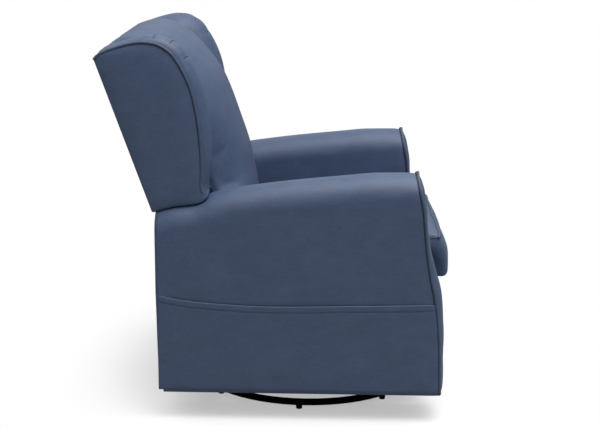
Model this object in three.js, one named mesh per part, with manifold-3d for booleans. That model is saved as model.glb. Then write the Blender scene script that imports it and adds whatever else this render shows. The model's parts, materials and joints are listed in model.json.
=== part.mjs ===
// Swivel glider recliner: an upholstered wing chair on a steel ring base.
// A ball bearing lets it swivel, four hanging links let it glide, the back tips
// on two side pivots and a linkage of bars on each side swings the footrest out.
// Frame: +X is forward, +Y is the sitter's left, +Z is up, in millimetres.
// Everything is drawn about the swivel axis and moved at the end, so that the
// origin lies on the floor, below the middle of the chair's whole length.

import * as THREE from "three";
import { mergeVertices } from "three/addons/utils/BufferGeometryUtils.js";
import Module from "manifold-3d";

const wasm = await Module();
wasm.setup();

// Driving sizes of the upholstered body
const seatGap = 524; // clear width between the arms
const armWidth = 122;
const armCrownHeight = 626; // floor to the top of the arm, at its front
const armFall = 91; // how much lower the arm is at its rear end
const bodyBehind = 376; // arm's rear edge behind the swivel axis
const bodyAhead = 334; // arm's front edge ahead of the swivel axis, at the skirt
const skirtHeight = 71; // floor to the bottom of the body
const seatFrontHeight = 450; // floor to the cushion's front edge
const deckHeight = 343; // floor to the top of the seat frame
const backRake = THREE.MathUtils.degToRad(19.7);
const wingHeight = 407; // along the leaning back, from the arm's rear end
const wingDepth = 195;
const wingSink = 11.5; // how far a wing reaches in over the seat gap
const wingSetback = 21.5; // how far its outer face lies inside the arm's
const pillowDepth = 248;

// Driving sizes of the base and the mechanism
const ringRadius = 301; // to the middle of the tube
const ringTube = 9; // tube radius
const ringLift = 8; // floor to the underside of the tube
const footCount = 8;
const baseTurn = THREE.MathUtils.degToRad(-3);
const glideLength = 95; // pivot to pivot on a hanging link
const glidePivotX = 130;
const platformBehind = 238; // gliding platform's rear end behind the swivel axis
const strapThickness = 3;
const plateSteel = 4;
const linkWidth = 22;
const pinRadius = 4;

// Clearances
const seat = 0.3; // between faces that touch
const layerGap = 1; // between links that pass each other
const pinPlay = 0.5; // between a pin and its hole
const overrun = 5; // how far a cut runs past what it cuts

const inner = seatGap / 2; // arm's inner face
const outer = inner + armWidth; // arm's outer face
const holeRadius = pinRadius + pinPlay;
const pinSides = 12;

// Materials
function finish(color, roughness, metalness) {
  return new THREE.MeshStandardMaterial({ color, roughness, metalness });
}
const fabric = finish(0x4a5a73, 0.92, 0);
const fabricDark = finish(0x3f4d64, 0.92, 0);
const wood = finish(0xb8935f, 0.75, 0);
const blackSteel = finish(0x0c0c0d, 0.42, 0.6);
const zincSteel = finish(0x8e9399, 0.38, 0.9);
const blackPlastic = finish(0x111112, 0.55, 0);
const webbing = finish(0x1b1c1f, 0.85, 0);

const chair = new THREE.Group();

// Adds one named piece to a group
function add(name, geometry, material, parent = chair) {
  const mesh = new THREE.Mesh(geometry, material);
  mesh.name = name;
  parent.add(mesh);
  return mesh;
}

// Adds a left-hand piece and its mirror image on the right
function addPair(name, geometry, material, parent = chair) {
  add(`${name}_left`, geometry, material, parent);
  add(`${name}_right`, geometry, material, parent).scale.y = -1;
}

// Turns a closed geometry into a solid that can be joined and cut
function solid(geometry) {
  const bare = new THREE.BufferGeometry();
  bare.setAttribute("position", geometry.getAttribute("position"));
  bare.setIndex(geometry.index);
  const merged = mergeVertices(bare, 1e-3);
  const mesh = new wasm.Mesh({
    numProp: 3,
    vertProperties: merged.attributes.position.array,
    triVerts: new Uint32Array(merged.index.array),
  });
  return new wasm.Manifold(mesh);
}

// Turns a solid back into a geometry
function shaped(made) {
  const mesh = made.getMesh();
  const geometry = new THREE.BufferGeometry();
  geometry.setAttribute("position", new THREE.Float32BufferAttribute(mesh.vertProperties, 3));
  geometry.setIndex(new THREE.Uint32BufferAttribute(mesh.triVerts, 1));
  return geometry;
}

function joined(first, ...others) {
  return shaped(others.reduce((sum, next) => sum.add(solid(next)), solid(first)));
}

function cut(first, ...others) {
  return shaped(others.reduce((sum, next) => sum.subtract(solid(next)), solid(first)));
}

function common(first, second) {
  return shaped(solid(first).intersect(solid(second)));
}

// Points on an arc, from one angle to another
function arc(x, y, radius, from, to, steps) {
  return Array.from({ length: steps + 1 }, (_, i) => {
    const angle = from + ((to - from) * i) / steps;
    return [x + radius * Math.cos(angle), y + radius * Math.sin(angle)];
  });
}

function circle(x, y, radius, sides = pinSides) {
  return arc(x, y, radius, 0, 2 * Math.PI, sides).slice(0, -1);
}

const vectors = (points) => points.map(([x, y]) => new THREE.Vector2(x, y));
const rectangle = (x0, y0, x1, y1) => [[x0, y0], [x1, y0], [x1, y1], [x0, y1]];

function outline(points, holes = []) {
  const shape = new THREE.Shape(vectors(points));
  shape.holes = holes.map((hole) => new THREE.Path(vectors(hole)));
  return shape;
}

// A plan outline (x, y) raised from one height to another
function upright(shape, low, high) {
  const geometry = new THREE.ExtrudeGeometry(shape, { depth: high - low, bevelEnabled: false });
  return geometry.translate(0, 0, low);
}

// A side outline (x, z) carried across the chair from one y to another
function across(shape, low, high) {
  return upright(shape, -high, -low).rotateX(Math.PI / 2);
}

// A front outline (y, z) carried along the chair from one x to another
function along(shape, low, high) {
  const turn = new THREE.Matrix4().makeBasis(
    new THREE.Vector3(0, 1, 0),
    new THREE.Vector3(0, 0, 1),
    new THREE.Vector3(1, 0, 0),
  );
  return upright(shape, low, high).applyMatrix4(turn);
}

function block(x0, x1, y0, y1, z0, z1) {
  return upright(outline(rectangle(x0, y0, x1, y1)), z0, z1);
}

// A round bar that lies across the chair
function crossBar([x, z], radius, low, high, sides = pinSides) {
  const bar = new THREE.CylinderGeometry(radius, radius, high - low, sides);
  return bar.translate(x, (low + high) / 2, z);
}

// A closed profile (radius, height) turned about the upright axis
function turned(points, sides) {
  return new THREE.LatheGeometry(vectors([...points, points[0]]), sides).rotateX(Math.PI / 2);
}

// Triangles that close a flat ring of points, in the ring's own direction
function capFaces(ring) {
  const spread = [0, 1, 2].map((axis) => {
    const places = ring.map((point) => point[axis]);
    return Math.max(...places) - Math.min(...places);
  });
  const flatAxis = spread.indexOf(Math.min(...spread));
  const flat = ring.map((point) => new THREE.Vector2(...point.filter((_, axis) => axis !== flatAxis)));
  const ringTurnsLeft = THREE.ShapeUtils.area(flat) > 0;
  return THREE.ShapeUtils.triangulateShape(flat, []).map((face) => {
    const faceTurnsLeft = THREE.ShapeUtils.area(face.map((i) => flat[i])) > 0;
    return faceTurnsLeft === ringTurnsLeft ? face : [...face].reverse();
  });
}

// Volume inside a closed set of faces, negative if they face inwards
function enclosed(points, faces) {
  const places = points.map((point) => new THREE.Vector3(...point));
  return faces.reduce((sum, [a, b, c]) => {
    const normal = new THREE.Vector3().crossVectors(places[b], places[c]);
    return sum + places[a].dot(normal) / 6;
  }, 0);
}

// A skin over rings of points that all have the same count, closed at both ends
function lofted(rings) {
  const count = rings[0].length;
  const last = (rings.length - 1) * count;
  const faces = [];
  for (let start = 0; start < last; start += count) {
    for (let i = 0; i < count; i++) {
      const a = start + i;
      const b = start + ((i + 1) % count);
      faces.push([a, b, b + count], [a, b + count, a + count]);
    }
  }
  capFaces(rings[0]).forEach((face) => faces.push([...face].reverse()));
  capFaces(rings.at(-1)).forEach((face) => faces.push(face.map((i) => i + last)));
  const points = rings.flat();
  const outward = enclosed(points, faces) > 0;
  const geometry = new THREE.BufferGeometry();
  geometry.setAttribute("position", new THREE.Float32BufferAttribute(points.flat(), 3));
  geometry.setIndex(faces.flatMap((face) => (outward ? face : [...face].reverse())));
  return geometry;
}

// Value at a place in a table of [place, value] pairs, in a straight line between them
function table(pairs, at) {
  const next = pairs.findIndex(([place]) => place >= at);
  if (next < 0) return pairs.at(-1)[1];
  if (next === 0) return pairs[0][1];
  const [low, high] = [pairs[next - 1], pairs[next]];
  return low[1] + ((high[1] - low[1]) * (at - low[0])) / (high[0] - low[0]);
}

// Base ring

const ringHeight = ringLift + ringTube;
const ringFacets = 10;
const ringSegments = 64;
function ringAround(tube) {
  const ring = new THREE.TorusGeometry(ringRadius, tube, ringFacets, ringSegments);
  return ring.translate(0, 0, ringHeight);
}
add("base_ring", ringAround(ringTube), blackSteel);

// Pressed cross: a dished hub with four spokes that widen towards the ring
const hubTop = 45;
const hubRadius = 100;
const crossSteel = 5;
const spokeWidth = 62;
const spokeFlare = 120; // width at the ring
const flareShare = 0.7; // where the spoke starts to widen, along its length
const spokeCount = 4;
const ringInner = (ringRadius - ringTube) * Math.cos(Math.PI / ringSegments); // middle of a facet
const spokeEnd = ringInner - seat;
const kingRadius = 12;
const kingHole = kingRadius + seat;
const crossTurn = baseTurn + (2 * Math.PI) / footCount;

const crossSection = [
  [kingHole, hubTop - crossSteel], [hubRadius, hubTop - crossSteel], [spokeEnd, ringHeight - crossSteel],
  [spokeEnd, ringHeight + crossSteel / 2], [hubRadius + crossSteel, hubTop], [kingHole, hubTop],
];

function spoke(index) {
  const flareFrom = spokeEnd * flareShare;
  const plan = outline([
    [0, -spokeWidth / 2], [flareFrom, -spokeWidth / 2], [ringRadius, -spokeFlare / 2],
    [ringRadius, spokeFlare / 2], [flareFrom, spokeWidth / 2], [0, spokeWidth / 2],
  ]);
  const angle = crossTurn - Math.PI / 2 + (index * 2 * Math.PI) / spokeCount;
  return upright(plan, 0, hubTop + overrun).rotateZ(angle);
}
const spokes = Array.from({ length: spokeCount }, (_, i) => spoke(i));
const hubDisc = upright(outline(circle(0, 0, hubRadius, 24)), 0, hubTop + overrun);
add("base_cross", common(turned(crossSection, 40), joined(hubDisc, ...spokes)), blackSteel);

// Eight feet under the ring, each cupped to its tube
const footRadius = ringTube;
const footSoleShare = 0.85; // of the foot's radius
const cupShare = 0.7; // how far the foot reaches up the tube
const footTop = ringLift + ringTube * cupShare;
for (let i = 0; i < footCount; i++) {
  const angle = baseTurn - Math.PI / 2 + (i * 2 * Math.PI) / footCount;
  const foot = new THREE.CylinderGeometry(footRadius, footRadius * footSoleShare, footTop, 14);
  foot.rotateX(Math.PI / 2).translate(ringRadius, 0, footTop / 2).rotateZ(angle);
  add(`foot_${i + 1}`, cut(foot, ringAround(ringTube + seat)), blackPlastic);
}

// Ball bearing: two races with a caged ring of balls between them
const raceInner = 62;
const raceOuter = 98;
const raceThickness = 6;
const ballRadius = 5.4;
const ballCount = 10;
const cageThickness = 3;
const cageShare = 1.6; // half the cage's width, in ball radii
const raceGap = 2 * (ballRadius + seat);
const lowerRaceFloor = hubTop + seat;
const upperRaceFloor = lowerRaceFloor + raceThickness + raceGap;

// A flat ring between two radii and two heights
function flatRing(from, to, low, high) {
  return turned(rectangle(from, low, to, high), 32);
}
const raceFrom = (floor) => flatRing(raceInner, raceOuter, floor, floor + raceThickness);
add("lower_race", raceFrom(lowerRaceFloor), zincSteel);
add("upper_race", raceFrom(upperRaceFloor), zincSteel);

const ballHeight = upperRaceFloor - raceGap / 2;
const ballCircle = (raceInner + raceOuter) / 2;
const cageHalf = ballRadius * cageShare;
const cage = flatRing(
  ballCircle - cageHalf, ballCircle + cageHalf,
  ballHeight - cageThickness / 2, ballHeight + cageThickness / 2,
);
const balls = Array.from({ length: ballCount }, (_, i) => {
  const ball = new THREE.SphereGeometry(ballRadius, 8, 6).translate(ballCircle, 0, ballHeight);
  return ball.rotateZ((i * 2 * Math.PI) / ballCount);
});
add("ball_cage", joined(cage, ...balls), zincSteel);

// Glider base: a bridge on the bearing with two rails, each with two hanger ears
const bridgeFloor = upperRaceFloor + raceThickness + seat;
const bridgeHalf = 150; // inner face of the rails
const bridgeLength = 105;
const railHalf = 160;
const railHeight = 36;
const hangerWidth = 34;
const hangerDrop = 138; // how far its pivots lie below the deck
const hangerHeight = deckHeight - hangerDrop;
const railTop = bridgeFloor + railHeight;

function hangerEar(x) {
  const half = hangerWidth / 2;
  return [[x + half, railTop], ...arc(x, hangerHeight, half, 0, Math.PI, 8), [x - half, railTop]];
}
const railShape = outline(
  [
    [-railHalf, bridgeFloor], [railHalf, bridgeFloor], [railHalf, railTop],
    ...hangerEar(glidePivotX), ...hangerEar(-glidePivotX), [-railHalf, railTop],
  ],
  [circle(glidePivotX, hangerHeight, holeRadius), circle(-glidePivotX, hangerHeight, holeRadius)],
);
const bridgeWeld = bridgeHalf + plateSteel / 2;
const bridge = cut(
  block(-bridgeLength, bridgeLength, -bridgeWeld, bridgeWeld, bridgeFloor, bridgeFloor + crossSteel),
  upright(outline(circle(0, 0, kingHole, 20)), 0, hangerHeight),
);
const gliderBase = joined(
  bridge,
  across(railShape, bridgeHalf, bridgeHalf + plateSteel),
  across(railShape, -bridgeHalf - plateSteel, -bridgeHalf),
);
add("glider_base", gliderBase, blackSteel);

// King pin that holds the swivel together
const kingHead = 22;
const kingHeadHeight = 6;
const kingShoulder = hubTop - crossSteel - seat;
const kingTop = bridgeFloor + crossSteel + seat;
add("king_pin", turned([
  [0, kingShoulder - kingHeadHeight], [kingHead, kingShoulder - kingHeadHeight],
  [kingHead, kingShoulder], [kingRadius, kingShoulder], [kingRadius, kingTop], [kingHead, kingTop],
  [kingHead, kingTop + kingHeadHeight], [0, kingTop + kingHeadHeight],
], 20), zincSteel);

// A flat bar between two pivots, with holes where other pieces' pins run
function bar(from, to, [low, high], holes = []) {
  const angle = Math.atan2(to[1] - from[1], to[0] - from[0]);
  const side = Math.PI / 2;
  const edge = [
    ...arc(...from, linkWidth / 2, angle + side, angle + 3 * side, 6),
    ...arc(...to, linkWidth / 2, angle - side, angle + side, 6),
  ];
  return across(outline(edge, holes.map(([x, z]) => circle(x, z, holeRadius))), low, high);
}

// A rivet from inside one piece to a head that stands on the far side of another
const headRadius = 7;
const headThickness = 2.5;
function rivet(pivot, from, headFace) {
  const outwards = Math.sign(headFace - from);
  const ends = [from, headFace + (outwards * headThickness) / 2].sort((a, b) => a - b);
  const headEnds = [headFace, headFace + outwards * headThickness].sort((a, b) => a - b);
  return [crossBar(pivot, pinRadius, ...ends), crossBar(pivot, headRadius, ...headEnds)];
}

const middleOf = ([low, high]) => (low + high) / 2;

// Four hanging links, each pinned to an ear on its inside and the platform on its outside
const glideLow = hangerHeight - glideLength;
const glideLayer = [0, plateSteel].map((y) => bridgeHalf + plateSteel + layerGap + y);
const platformLayer = glideLayer.map((y) => y + plateSteel + layerGap);
function glideLink(x) {
  const [top, bottom] = [[x, hangerHeight], [x, glideLow]];
  return joined(
    bar(top, bottom, glideLayer),
    ...rivet(top, middleOf(glideLayer), bridgeHalf - seat),
    ...rivet(bottom, middleOf(glideLayer), platformLayer[1] + seat),
  );
}
addPair("glide_link_front", glideLink(glidePivotX), zincSteel);
addPair("glide_link_rear", glideLink(-glidePivotX), zincSteel);

// Arms: a padded shell, open below, round on top and swept back at the front

const armWall = 14; // board, foam and cover together
const frontSweep = 72; // how far the arm's front edge leans back at its top
const rearTuck = 15; // how far the rear edge is drawn in at the skirt
const crownRadius = armWidth / 2;
const armMiddle = inner + crownRadius;
const bodyLength = bodyBehind + bodyAhead;
const armHeight = armCrownHeight - skirtHeight;

// Fall of the crown, as a share of armFall, along the arm from its rear end
const crownFallShares = [
  [0, 1], [0.07, 0.85], [0.14, 0.79], [0.17, 0.71], [0.2, 0.59], [0.26, 0.47],
  [0.37, 0.34], [0.47, 0.24], [0.67, 0.08], [0.77, 0.01], [0.87, 0], [1.05, 0],
];
// Sweep of the front edge, as a share of frontSweep, up the arm from the skirt
const sweepShares = [
  [0, 0], [0.22, 0.06], [0.36, 0.15], [0.45, 0.25], [0.54, 0.4], [0.65, 0.54],
  [0.75, 0.63], [0.85, 0.71], [0.9, 0.79], [0.97, 0.89], [1.02, 0.97],
];
// Tuck of the rear edge, as a share of rearTuck, up the arm from the skirt
const tuckShares = [[0, 1], [0.02, 0.8], [0.11, 0.25], [0.35, 0.1], [0.5, 0], [0.76, 0], [0.84, 0.1]];

const shareUp = (z) => (z - skirtHeight) / armHeight;
const heightAt = (share) => skirtHeight + share * armHeight;
const crownAt = (x) => armCrownHeight - armFall * table(crownFallShares, (x + bodyBehind) / bodyLength);
const frontAt = (z) => bodyAhead - frontSweep * table(sweepShares, shareUp(z));
const rearAt = (z) => -bodyBehind + rearTuck * table(tuckShares, shareUp(z));

// Points of an edge (x, z) at the heights of its table, moved by an offset
function edgePoints(shares, edgeAt, offset) {
  return shares.map(([share]) => [edgeAt(heightAt(share)) + offset, heightAt(share)]);
}

// Cross-section of the arm (y, z), drawn in from the real one by an inset
function armSection(crown, inset, low) {
  const radius = crownRadius - inset;
  const top = arc(armMiddle, crown - crownRadius, radius, Math.PI, 0, 12);
  return [[armMiddle - radius, low], ...top, [armMiddle + radius, low]];
}

// The arm's solid, drawn in by an inset and cut to its side outline
function armBody(inset, low) {
  const rings = crownFallShares.map(([share]) => {
    const x = share * bodyLength - bodyBehind;
    return armSection(crownAt(x), inset, low - overrun).map(([y, z]) => [x, y, z]);
  });
  const rear = edgePoints(tuckShares.slice(1), rearAt, inset);
  const front = edgePoints(sweepShares.slice(1), frontAt, -inset).reverse();
  const top = armCrownHeight + overrun;
  const side = outline([
    [rearAt(skirtHeight) + inset, low], ...rear, [rear.at(-1)[0], top],
    [front[0][0], top], ...front.filter(([, z]) => z < top),
    [frontAt(skirtHeight) - inset, low],
  ]);
  return common(lofted(rings), across(side, inner - overrun, outer + overrun));
}
const armCavity = armBody(armWall, skirtHeight - overrun);
addPair("arm_cover", cut(armBody(0, skirtHeight), armCavity), fabric);

// Plywood board that stands inside each arm
const armBoard = 18;
const boardSlab = block(
  -bodyBehind, bodyAhead, armMiddle - armBoard / 2, armMiddle + armBoard / 2,
  skirtHeight + armWall, armCrownHeight,
);
addPair("arm_frame", common(armBody(armWall + seat, skirtHeight), boardSlab), wood);

// Padded panel that closes the front of each arm: thin at its seams, full in the middle
const frontBulge = 22; // padding at the fullest place
const panelSeam = 4; // thickness at the seams
// Padding, as a share of frontBulge, up the arm from the skirt
const bulgeShares = [
  [0, 0.3], [0.03, 0.45], [0.2, 0.52], [0.34, 0.75], [0.48, 1], [0.55, 0.96],
  [0.64, 0.8], [0.74, 0.48], [0.84, 0.42], [0.93, 0.4], [0.98, 0.22], [1.01, 0.04],
];
const panelStationShares = [-1, -0.94, -0.78, -0.45, 0, 0.45, 0.78, 0.94, 1];
const panelBack = bodyAhead - frontSweep - overrun;
const panelTop = armCrownHeight + overrun;

function panelRing(share) {
  const fullness = 1 - Math.abs(share) ** 4;
  const face = bulgeShares.map(([up, bulge]) => {
    const x = frontAt(heightAt(up)) + seat + panelSeam + frontBulge * bulge * fullness;
    return [x, heightAt(up)];
  });
  const ring = [[panelBack, skirtHeight], ...face, [panelBack, face.at(-1)[1]]];
  return ring.map(([x, z]) => [x, armMiddle + share * (crownRadius + overrun), z]);
}
const behindPanel = outline([
  [panelBack - overrun, 0], [frontAt(skirtHeight) + seat, 0],
  ...edgePoints(sweepShares, frontAt, seat),
  [panelBack - overrun, heightAt(sweepShares.at(-1)[0])],
]);
const panelProfile = outline(armSection(armCrownHeight, 0, skirtHeight));
const frontPanel = cut(
  common(
    lofted(panelStationShares.map(panelRing)),
    along(panelProfile, panelBack - overrun, bodyAhead + 2 * frontBulge),
  ),
  across(behindPanel, inner - 2 * overrun, outer + 2 * overrun),
);
addPair("arm_front", frontPanel, fabric);

// Flat storage pocket on the outside of each arm, open along its top
const pocketGap = 5; // room between the pocket and the arm
const pocketCloth = 2.5;
const pocketSeam = 8; // width of the sewn edges
const pocketTop = 300; // floor to the lowest place of the hem
const pocketSag = 25; // how much higher the hem is at the rear
const hemShares = [[0, 1], [0.09, 0.55], [0.2, 0.25], [0.42, 0], [0.66, 0.14], [0.86, 0.26], [1, 0.35]];
const pocketFoot = skirtHeight + armWall / 2;

function pocketOutline(seam, rise) {
  const from = -bodyBehind + rearTuck / 2 + seam;
  const to = frontAt(pocketTop) - seat - seam;
  const foot = pocketFoot + seam;
  const hem = hemShares.map(([share, sag]) => [
    from + share * (to - from), pocketTop + sag * pocketSag + rise,
  ]);
  return outline([[rearAt(foot) + seam, foot], [to, foot], ...hem.reverse()]);
}
const pocketFrom = outer + seat;
const pocketRoom = across(pocketOutline(pocketSeam, overrun), outer, pocketFrom + pocketGap);
const pocketSlab = across(pocketOutline(0, 0), pocketFrom, pocketFrom + pocketGap + pocketCloth);
addPair("side_pocket", cut(pocketSlab, pocketRoom), fabric);

// Back: everything in this group is drawn upright and leaned back by the rake

const backOverhang = 3; // how far the back's foot stands behind the arms
const backSink = 5; // how far it starts below the arm's rear end
const backFoot = [-bodyBehind - backOverhang, armCrownHeight - armFall - backSink];
const back = new THREE.Group();
back.position.set(backFoot[0], 0, backFoot[1]);
back.rotation.y = -backRake;
chair.add(back);
const [rakeCos, rakeSin] = [Math.cos(backRake), Math.sin(backRake)];

// A place of the chair (x, z) as depth and height in the leaning group
function leaning([x, z]) {
  const [dx, dz] = [x - backFoot[0], z - backFoot[1]];
  return [dx * rakeCos + dz * rakeSin, dz * rakeCos - dx * rakeSin];
}

// A depth and height of the leaning group as a place of the chair (x, z)
function upstanding([depth, up]) {
  return [
    backFoot[0] + depth * rakeCos - up * rakeSin,
    backFoot[1] + depth * rakeSin + up * rakeCos,
  ];
}

const backBoard = 8; // outer back: board and cover
const wingLift = 6; // gap between a wing and the arm below it
const frameRise = 10; // how far the back's frame starts above the deck
const backDrop = (backFoot[1] - deckHeight - frameRise) / rakeCos;
const frameDepth = 37;
const frameTopShare = 0.87; // of wingHeight
const middleRailShare = 0.44; // of the frame's height
const boardWidth = 45; // of the frame's boards
const topArch = 12; // how much higher the back is in its middle
const wingInner = inner - wingSink;
const wingOuter = outer - wingSetback;
const wingWidth = wingOuter - wingInner;
const frameHalf = wingInner - seat;
const frameTop = wingHeight * frameTopShare;
const frameFrom = backBoard + seat;
const frameTo = frameFrom + frameDepth;

// How far the arm's round top has fallen at a place across it
function crownDrop(y) {
  const aside = Math.min(Math.abs(y - armMiddle), crownRadius);
  return crownRadius - Math.sqrt(crownRadius ** 2 - aside ** 2);
}

// Height in the leaning group that clears the arm's top at a depth
function aboveArm(depth, y) {
  const drop = Math.min(crownDrop(y), crownDrop(wingOuter));
  let up = 0;
  for (let pass = 0; pass < 3; pass++) {
    const z = crownAt(upstanding([depth, up])[0]) - drop + wingLift;
    up = (z - backFoot[1] - depth * rakeSin) / rakeCos;
  }
  return up;
}

// Outer back: wide behind the wings, narrow between the arms, arched on top
const cornerShare = 0.968; // height of the top corners, of wingHeight
const archSteps = 8;
const shoulderSteps = 4;
const arch = Array.from({ length: archSteps + 1 }, (_, i) => {
  const share = 1 - (2 * i) / archSteps;
  return [share * wingOuter, wingHeight * cornerShare + topArch * (1 - share * share)];
});
const shoulder = Array.from({ length: shoulderSteps + 1 }, (_, i) => {
  const y = armMiddle + ((wingOuter - armMiddle) * i) / shoulderSteps;
  return [y, aboveArm(0, y)];
});
const mirrored = (points) => points.map(([y, z]) => [-y, z]).reverse();
const backEdge = [[frameHalf, -backDrop], [frameHalf, aboveArm(0, armMiddle)], ...shoulder];
const backFace = outline([...backEdge, ...arch, ...mirrored(backEdge)]);
add("outer_back", along(backFace, 0, backBoard), fabricDark, back);

// Wooden back frame: two stiles with three rails between them
function frameBoard(y0, y1, z0, z1) {
  return along(outline(rectangle(y0, z0, y1, z1)), frameFrom, frameTo);
}
addPair("back_stile", frameBoard(frameHalf - boardWidth, frameHalf, -backDrop, frameTop), wood, back);
const railSpan = frameHalf - boardWidth - seat;
const railFeet = {
  lower: -backDrop,
  middle: -backDrop + (frameTop + backDrop) * middleRailShare,
  upper: frameTop - boardWidth,
};
for (const [place, foot] of Object.entries(railFeet)) {
  add(`back_rail_${place}`, frameBoard(-railSpan, railSpan, foot, foot + boardWidth), wood, back);
}

// Inner back: a thick pillow that wraps over the top of the frame
const pillowPlay = 2; // between the pillow and each wing
const pillowHalf = frameHalf - pillowPlay;
const pillowDraw = 26; // how far the front is drawn back at the sides
const pillowFootShare = -1.08; // of backDrop
// [share of pillowDepth, share of wingHeight or below zero of backDrop, share of pillowDraw]
const pillowShares = [
  [0.15, 1.01, 0.1], [0.33, 1.027, 0.3], [0.49, 1.027, 0.5], [0.6, 0.99, 0.7], [0.69, 0.945, 0.8],
  [0.77, 0.89, 0.9], [0.84, 0.825, 1], [0.9, 0.74, 1], [0.945, 0.65, 1], [0.985, 0.55, 1],
  [1, 0.42, 1], [1, 0.25, 1], [1, 0.08, 1], [0.997, -0.11, 1], [0.975, -0.32, 0.9],
  [0.93, -0.52, 0.8], [0.85, -0.76, 0.6], [0.7, -1.02, 0.4], [0.5, pillowFootShare, 0.2],
];
const pillowTopShare = 0.985; // where it meets the outer back, of wingHeight
const archedShare = 0.9; // what stands higher than this follows the arched top
const pillowUp = (up) => up * (up > 0 ? wingHeight : backDrop);

// A soft block: side outlines carried across the chair, each at its share of the half width
const stationShares = [-1, -0.975, -0.92, -0.8, -0.55, -0.28, 0, 0.28, 0.55, 0.8, 0.92, 0.975, 1];
function cushion(halfWidth, ringAt) {
  return lofted(stationShares.map((share) => ringAt(share).map(([x, z]) => [x, share * halfWidth, z])));
}

function pillowRing(share) {
  const aside = Math.abs(share) ** 3;
  const front = pillowShares.map(([deep, up, draw]) => [
    deep * pillowDepth - draw * pillowDraw * aside,
    pillowUp(up) - (up > archedShare ? topArch * aside : 0),
  ]);
  return [
    [frameFrom, pillowTopShare * wingHeight - topArch * aside], ...front,
    [frameTo + seat, pillowUp(pillowFootShare)], [frameTo + seat, frameTop + seat],
    [frameFrom, frameTop + seat],
  ];
}
add("back_pillow", cushion(pillowHalf, pillowRing), fabric, back);
const pillowReach = Math.max(
  ...pillowShares.map(([deep, up]) => upstanding([deep * pillowDepth, pillowUp(up)])[0]),
);

// Wings: a side outline whose padding swells forward and up between its two seams
const wingPush = 25;
const wingTopPush = 9;
// Bottom edge, over the arm: [share of wingDepth, share of wingPush]
const wingFootShares = [[0, 0], [0.272, 0], [0.531, 0], [0.64, 0.5]];
// The rest: [share of wingDepth, share of wingHeight, share of wingPush, share of wingTopPush]
const wingShares = [
  [0.684, 0.03, 1, 0], [0.748, 0.112, 1, 0], [0.815, 0.194, 1, 0], [0.899, 0.321, 1, 0],
  [0.983, 0.513, 1, 0], [1, 0.681, 1, 0.1], [0.959, 0.813, 0.95, 0.2], [0.831, 0.927, 0.7, 0.5],
  [0.649, 0.977, 0.3, 0.8], [0.426, 1, 0.1, 0.9], [0.185, 0.997, 0, 0.8], [0, 0.968, 0, 0.5],
];
// [share of wingWidth from the inner face, share of the swelling]
const wingStationShares = [
  [0, -0.6], [0.06, 0.1], [0.16, 0.6], [0.35, 1], [0.6, 1], [0.8, 0.85], [0.93, 0.45], [1, 0],
];

function wingRing([place, swelling]) {
  const y = wingInner + place * wingWidth;
  const depthAt = (share, push) => frameFrom + share * (wingDepth - frameFrom) + push * swelling * wingPush;
  const foot = wingFootShares.map(([deep, push]) => {
    const depth = depthAt(deep, push);
    return [depth, y, aboveArm(depth, y)];
  });
  const rest = wingShares.map(([deep, up, push, rise]) => [
    depthAt(deep, push), y, up * wingHeight + rise * swelling * wingTopPush,
  ]);
  return [...foot, ...rest];
}
addPair("wing", lofted(wingStationShares.map(wingRing)), fabric, back);

// Steel bracket on each stile, with the pin that the back tips on
const reclineRise = 13; // how far the pivot lies above the deck
const reclineInset = 32; // how far the pivot lies ahead of the arm's rear edge
const reclinePivot = [-bodyBehind + reclineInset, deckHeight + reclineRise];
const plateOuter = inner - seat;
const plateInner = plateOuter - plateSteel;
const bracketRoom = 37; // between the bracket's top and the wing's foot
const neckShare = 0.324; // where it narrows, of its height above the pivot
const bracketRound = 15.4;
const bracketLayer = [frameHalf + seat, frameHalf + seat + plateSteel];
const tipPivot = leaning(reclinePivot);
const bracketTop = aboveArm(frameFrom, wingInner) - bracketRoom;
const bracketNeck = tipPivot[1] + neckShare * (bracketTop - tipPivot[1]);
const backBracketShape = outline([
  ...arc(...tipPivot, bracketRound, Math.PI, 2 * Math.PI, 8),
  [frameTo, bracketNeck], [frameTo, bracketTop], [frameFrom + seat, bracketTop],
  [frameFrom + seat, bracketNeck],
]);
const backBracket = joined(
  across(backBracketShape, ...bracketLayer),
  crossBar(tipPivot, pinRadius, middleOf(bracketLayer), plateOuter - seat / 2),
);
addPair("back_bracket", backBracket, blackSteel, back);

// Covered board that closes the body behind, below the back
const earRadius = 17; // of the mechanism plate, round the recline pivot
const earRoom = 5;
const rearBoard = 12;
const rearPanelX = -bodyBehind + rearTuck / 2;
const rearPanel = block(
  rearPanelX, rearPanelX + rearBoard, seat - inner, inner - seat,
  skirtHeight, reclinePivot[1] - earRadius - earRoom,
);
add("rear_panel", rearPanel, fabricDark);

// Seat: wooden frame, zigzag springs and a crowned cushion with a lipped front

const cushionGap = 3.9; // between the cushion and the back pillow
const strapPlay = 1.4; // between the cushion and the release strap beside it
const noseReach = 28; // how far the cushion stands out ahead of the arms
const cushionRear = pillowReach + cushionGap;
const cushionNose = bodyAhead + noseReach;
const cushionHalf = plateInner - seat - strapThickness - strapPlay;
const footrestSetback = 56; // how far the footrest's board lies behind the arms' fronts
const footrestBack = bodyAhead - footrestSetback;
const seatRail = 26;
const seatRailWidth = 45;
const frameInset = 7; // how far the frame lies inside the cushion's rear edge
const frameSetback = 8; // how far its front lies behind the footrest's board
const frameSideInset = 3;
const seatFrameRear = cushionRear + frameInset;
const seatFrameFront = footrestBack - frameSetback;
const seatFrameHalf = cushionHalf - frameSideInset;
const seatFrameLow = deckHeight - seatRail;
const seatWindow = rectangle(
  seatFrameRear + seatRailWidth, seatRailWidth - seatFrameHalf,
  seatFrameFront - seatRailWidth, seatFrameHalf - seatRailWidth,
);
const seatFramePlan = rectangle(seatFrameRear, -seatFrameHalf, seatFrameFront, seatFrameHalf);
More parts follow.
